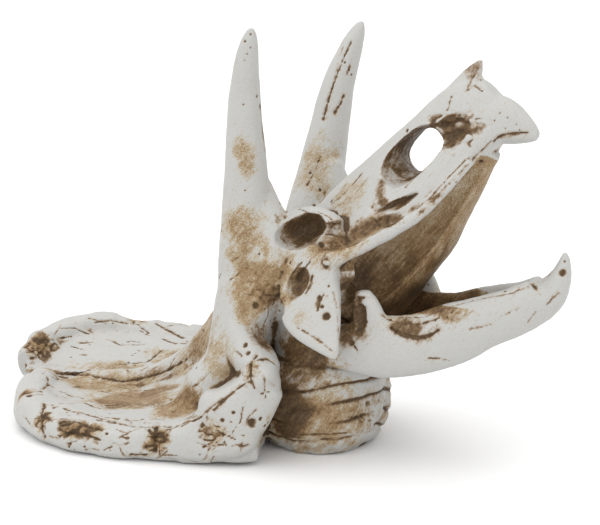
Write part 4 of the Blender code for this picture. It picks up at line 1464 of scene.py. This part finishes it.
def part_of_casting(name):
    """The closed piece with this name: its triangles, the walls at its border and its caps."""
    mine = names == name
    edge = mine[owner] & ~mine[across]
    one_side = rear[owner[edge]] == rear[across[edge]]
    cut = np.where(one_side, names[across[edge]], "rear")
    border = sides[edge]
    both_ways = np.concatenate([border, border[:, ::-1]])
    ring = averaged(points - INSET * normals, both_ways, RING_ROUNDS)
    below = border + len(points)
    walls = np.stack([border[:, 1], border[:, 0], below[:, 0], below[:, 1]], -1)
    caps = caps_of(below, cut)
    corners = np.concatenate([triangles[mine].ravel(), walls.ravel(), *caps])
    used, index = np.unique(corners, return_inverse=True)
    lengths = [3] * int(mine.sum()) + [4] * len(walls) + [len(cap) for cap in caps]
    return piece_object(name, used, index, lengths, ring)


def piece_object(name, used, index, lengths, ring):
    """The object of a piece, with wash and painted shade, tan and facing direction at each point.
    """
    point = used % len(points)
    at = np.where((used < len(points))[:, None], points[point], ring[point])
    made = faces_object(name, at * MM, index, np.array(lengths))
    mesh = made.data
    mesh.shade_smooth()
    for label, values in (("wash_and_shade", wash_and_shade), ("tan", tan)):
        kept = mesh.attributes.new(label, "FLOAT", "POINT")
        kept.data.foreach_set("value", values[point].astype(np.float32))
    mesh.normals_split_custom_set_from_vertices(normals[point].astype(np.float32))
    print(name, len(lengths), "faces, mended:", mesh.validate(verbose=False))
    return made


REPLACED = {
    "horns": ["brow_horn_left", "brow_horn_right"],
    "left_lobe": ["frill_left"],
    "right_lobe": ["frill_right"],
    "stump": ["neck_stump"],
    "lower_jaw": ["jaw_left", "jaw_right", "lower_beak"],
    "muzzle": ["snout", "nose_horn", "upper_beak"],
    "skull": ["cranium"],
    "cheeks": ["cheek_left", "cheek_right"],
}
pieces = {name: part_of_casting(name) for name in REPLACED}

# %% [markdown]
# Three coats lie on the resin: white all over, a misted tan, and the brown wash, which also paints
# the shade in whole cavities and deep in the mouth. Their edges are ragged, as a brush and a spray
# leave them. A painted picture wrapped round the skin could show that, yet it would blur from near
# by. Noise fields stay sharp at any distance, so each coat is the amount kept at the points, made
# ragged by noise and read off on a ramp of colours.

# %% Helpers for the paint
def node(tree, kind, **values):
    """A shader node. A value fills in a setting or an input, and a socket is linked to it."""
    made = tree.nodes.new("ShaderNode" + kind)
    for key, value in values.items():
        if key not in made.inputs:
            setattr(made, key, value)
        elif isinstance(value, bpy.types.NodeSocket):
            tree.links.new(value, made.inputs[key])
        else:
            made.inputs[key].default_value = value
    return made


def sums_up(tree, first, second, times, plus):
    """first + second * times + plus, held between 0 and 1."""
    scaled = node(tree, "Math", operation="MULTIPLY_ADD")
    tree.links.new(second, scaled.inputs[0])
    scaled.inputs[1].default_value = times
    scaled.inputs[2].default_value = plus
    total = node(tree, "Math", operation="ADD", use_clamp=True)
    tree.links.new(first, total.inputs[0])
    tree.links.new(scaled.outputs[0], total.inputs[1])
    return total.outputs[0]


def ramp(tree, value, stops):
    """A colour ramp with the given stops of place and colour. A single number is a grey."""
    made = node(tree, "ValToRGB")
    tree.links.new(value, made.inputs[0])
    elements = made.color_ramp.elements
    while len(elements) < len(stops):
        elements.new(0.5)
    for element, (place, colour) in zip(elements, stops):
        element.position = place
        element.color = (*np.broadcast_to(colour, 3), 1)
    return made.outputs[0]


BRUSH_TILT = math.radians(-50)
print("the brush was drawn at", round(math.degrees(-BRUSH_TILT)), "degrees to the level")


def grain(tree, where, size, stroke=1.0):
    """Noise with lumps of the given size in millimetres, drawn out along the brush strokes."""
    laid = node(tree, "Mapping", vector_type="TEXTURE", Vector=where, Scale=(stroke, 1, 1),
                Rotation=(0, BRUSH_TILT, 0))
    laid = laid.outputs["Vector"]
    made = node(tree, "TexNoise", Vector=laid, Scale=1000 / size, Detail=3, Roughness=0.65)
    return made.outputs["Fac"]


# %% [markdown]
# All pieces share one coat, since they are one casting and the strokes run on from piece to
# piece. The white is a little grey and the wash runs from a thin tan to umber where it pooled;
# its dark end also paints the shade in whole cavities and deep in the mouth. The paint is matt,
# and slightly more so where the wash has dried and where shade is painted.

# %% Paint
WHITE = (0.435, 0.435, 0.42)
CREAM = (0.4, 0.35, 0.27)
TAN = (0.31, 0.225, 0.125)
BROWN = (0.19, 0.11, 0.045)
THIN_WASH = (0.37, 0.27, 0.155)
# The dark end of the wash ramp, which also paints the shade in cavities and deep in the mouth.
THICK_WASH_AND_SHADE = (0.115, 0.068, 0.03)
UMBER = (0.055, 0.031, 0.013)
SPECK, FLECK, STREAK, CLOUD = 1.1, 0.5, 1.3, 11
SHEEN = 0.35


def paint(name):
    """White paint, tan spray and brown wash over one another, the brown with painted shade too."""
    made = bpy.data.materials.new(name)
    made.use_nodes = True
    tree = made.node_tree
    shader = tree.nodes["Principled BSDF"]
    where = node(tree, "TexCoord").outputs["Object"]
    darkened = node(tree, "Attribute", attribute_name="wash_and_shade").outputs["Fac"]
    sprayed = node(tree, "Attribute", attribute_name="tan").outputs["Fac"]
    speck, fleck, cloud = (grain(tree, where, size) for size in (SPECK, FLECK, CLOUD))
    streak = grain(tree, where, STREAK, stroke=6)
    # Wash and painted shade together, made ragged by specks and streaks.
    dirt_and_shade = sums_up(tree, darkened, speck, 0.9, -0.5)
    dirt_and_shade = sums_up(tree, dirt_and_shade, streak, 0.9, -0.53)
    spray = sums_up(tree, sprayed, cloud, 1.2, -0.72)
    spray = sums_up(tree, spray, streak, 1.0, -0.58)
    spray = sums_up(tree, spray, fleck, 2.0, -1.06)
    sprayed_paint = ramp(tree, spray, [(0.05, WHITE), (0.3, CREAM), (0.6, TAN), (0.95, BROWN)])
    amount = ramp(tree, dirt_and_shade, [(0.06, 0), (0.35, 0.6), (0.6, 1)])
    wash_and_shade_stops = [(0.1, THIN_WASH), (0.45, BROWN), (0.7, THICK_WASH_AND_SHADE), (1.0, UMBER)]
    washed_and_shaded = ramp(tree, dirt_and_shade, wash_and_shade_stops)
    mix = node(tree, "Mix", data_type="RGBA")
    for place, value in ((0, amount), (6, sprayed_paint), (7, washed_and_shaded)):
        tree.links.new(value, mix.inputs[place])
    tree.links.new(mix.outputs[2], shader.inputs["Base Color"])
    tree.links.new(ramp(tree, dirt_and_shade, [(0.1, 0.5), (0.8, 0.68)]), shader.inputs["Roughness"])
    shader.inputs["Specular IOR Level"].default_value = SHEEN
    bump = node(tree, "Bump", Strength=0.3, Distance=0.0002, Height=speck)
    tree.links.new(bump.outputs[0], shader.inputs["Normal"])
    return made


# The coat holds the wash and the painted shade.
coat = paint("washed paint")
for name, piece in pieces.items():
    piece.data.materials.append(coat)
    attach(piece, "root")
    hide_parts(*REPLACED[name])
print("painted:", list(pieces))

# %% [markdown]
# The ornament stands on white card, so wide that its edges are never seen. A plain square does,
# because nothing on the card has a shape. It isn't part of the ornament.

# %% Floor
FLOOR_REACH = 9000
CARD = (0.88, 0.88, 0.88, 1)
floor_points = FLOOR_REACH * np.array([(-1, -1, 0), (1, -1, 0), (1, 1, 0), (-1, 1, 0)], float)
floor = triangles_object("floor", floor_points, np.array([(0, 1, 2), (0, 2, 3)]))
card = bpy.data.materials.new("floor")
card.use_nodes = True
finish = card.node_tree.nodes["Principled BSDF"].inputs
finish["Base Color"].default_value = CARD
finish["Roughness"].default_value = 0.9
floor.data.materials.append(card)
print("floor:", 2 * FLOOR_REACH / 1000, "m wide")

# %% [markdown]
# The light is that of a bright overcast day: white from all round, and a little more from a wide
# patch of sky above. The patch is a sun lamp 120 degrees wide, so its shadows have no hard edge.

# %% Light
SKY_STRENGTH = 0.92
WINDOW_STRENGTH = 1.8

scene = bpy.context.scene
scene.view_settings.view_transform = "Standard"
world = bpy.data.worlds.new("studio")
world.use_nodes = True
sky = world.node_tree.nodes["Background"].inputs
sky[0].default_value = (1, 1, 1, 1)
sky[1].default_value = SKY_STRENGTH
scene.world = world
sun = bpy.data.lights.new("sky window", "SUN")
sun.energy = WINDOW_STRENGTH
sun.angle = math.radians(120)
lamp = placed("sky window", sun)
lamp.rotation_euler = (math.radians(20), math.radians(-4), 0)

# %% [markdown]
# The camera stands 0.7 m away, turned 27 degrees from the side towards the front and raised by
# 11, so that the open jaws and both horns show. Its direction is set first. Then it is slid
# sideways and up, until the middle of the stump's foot lies at a chosen place in its picture.

# %% Camera
TURN, LIFT = math.radians(27), math.radians(11)
DISTANCE = 700
LENS, SENSOR = 105, 36
PICTURE = 600, 525
FOOT_PIXEL = 322, 439

pixels = PICTURE[0] * LENS / SENSOR
right = np.array([math.cos(TURN), math.sin(TURN), 0])
back = np.array([
    math.sin(TURN) * math.cos(LIFT), -math.cos(TURN) * math.cos(LIFT), math.sin(LIFT),
])
up = np.cross(back, right)
slide = right * (FOOT_PIXEL[0] - PICTURE[0] / 2) + up * (PICTURE[1] / 2 - FOOT_PIXEL[1])
spot = DISTANCE * (back - slide / pixels)
lens = bpy.data.cameras.new("camera")
lens.lens = LENS
lens.sensor_width = SENSOR
camera = placed("camera", lens)
rows = [(right[i], up[i], back[i], spot[i] * MM) for i in range(3)]
camera.matrix_world = Matrix(rows + [(0, 0, 0, 1)])
scene.camera = camera
print("camera at", spot.round(1), "mm")
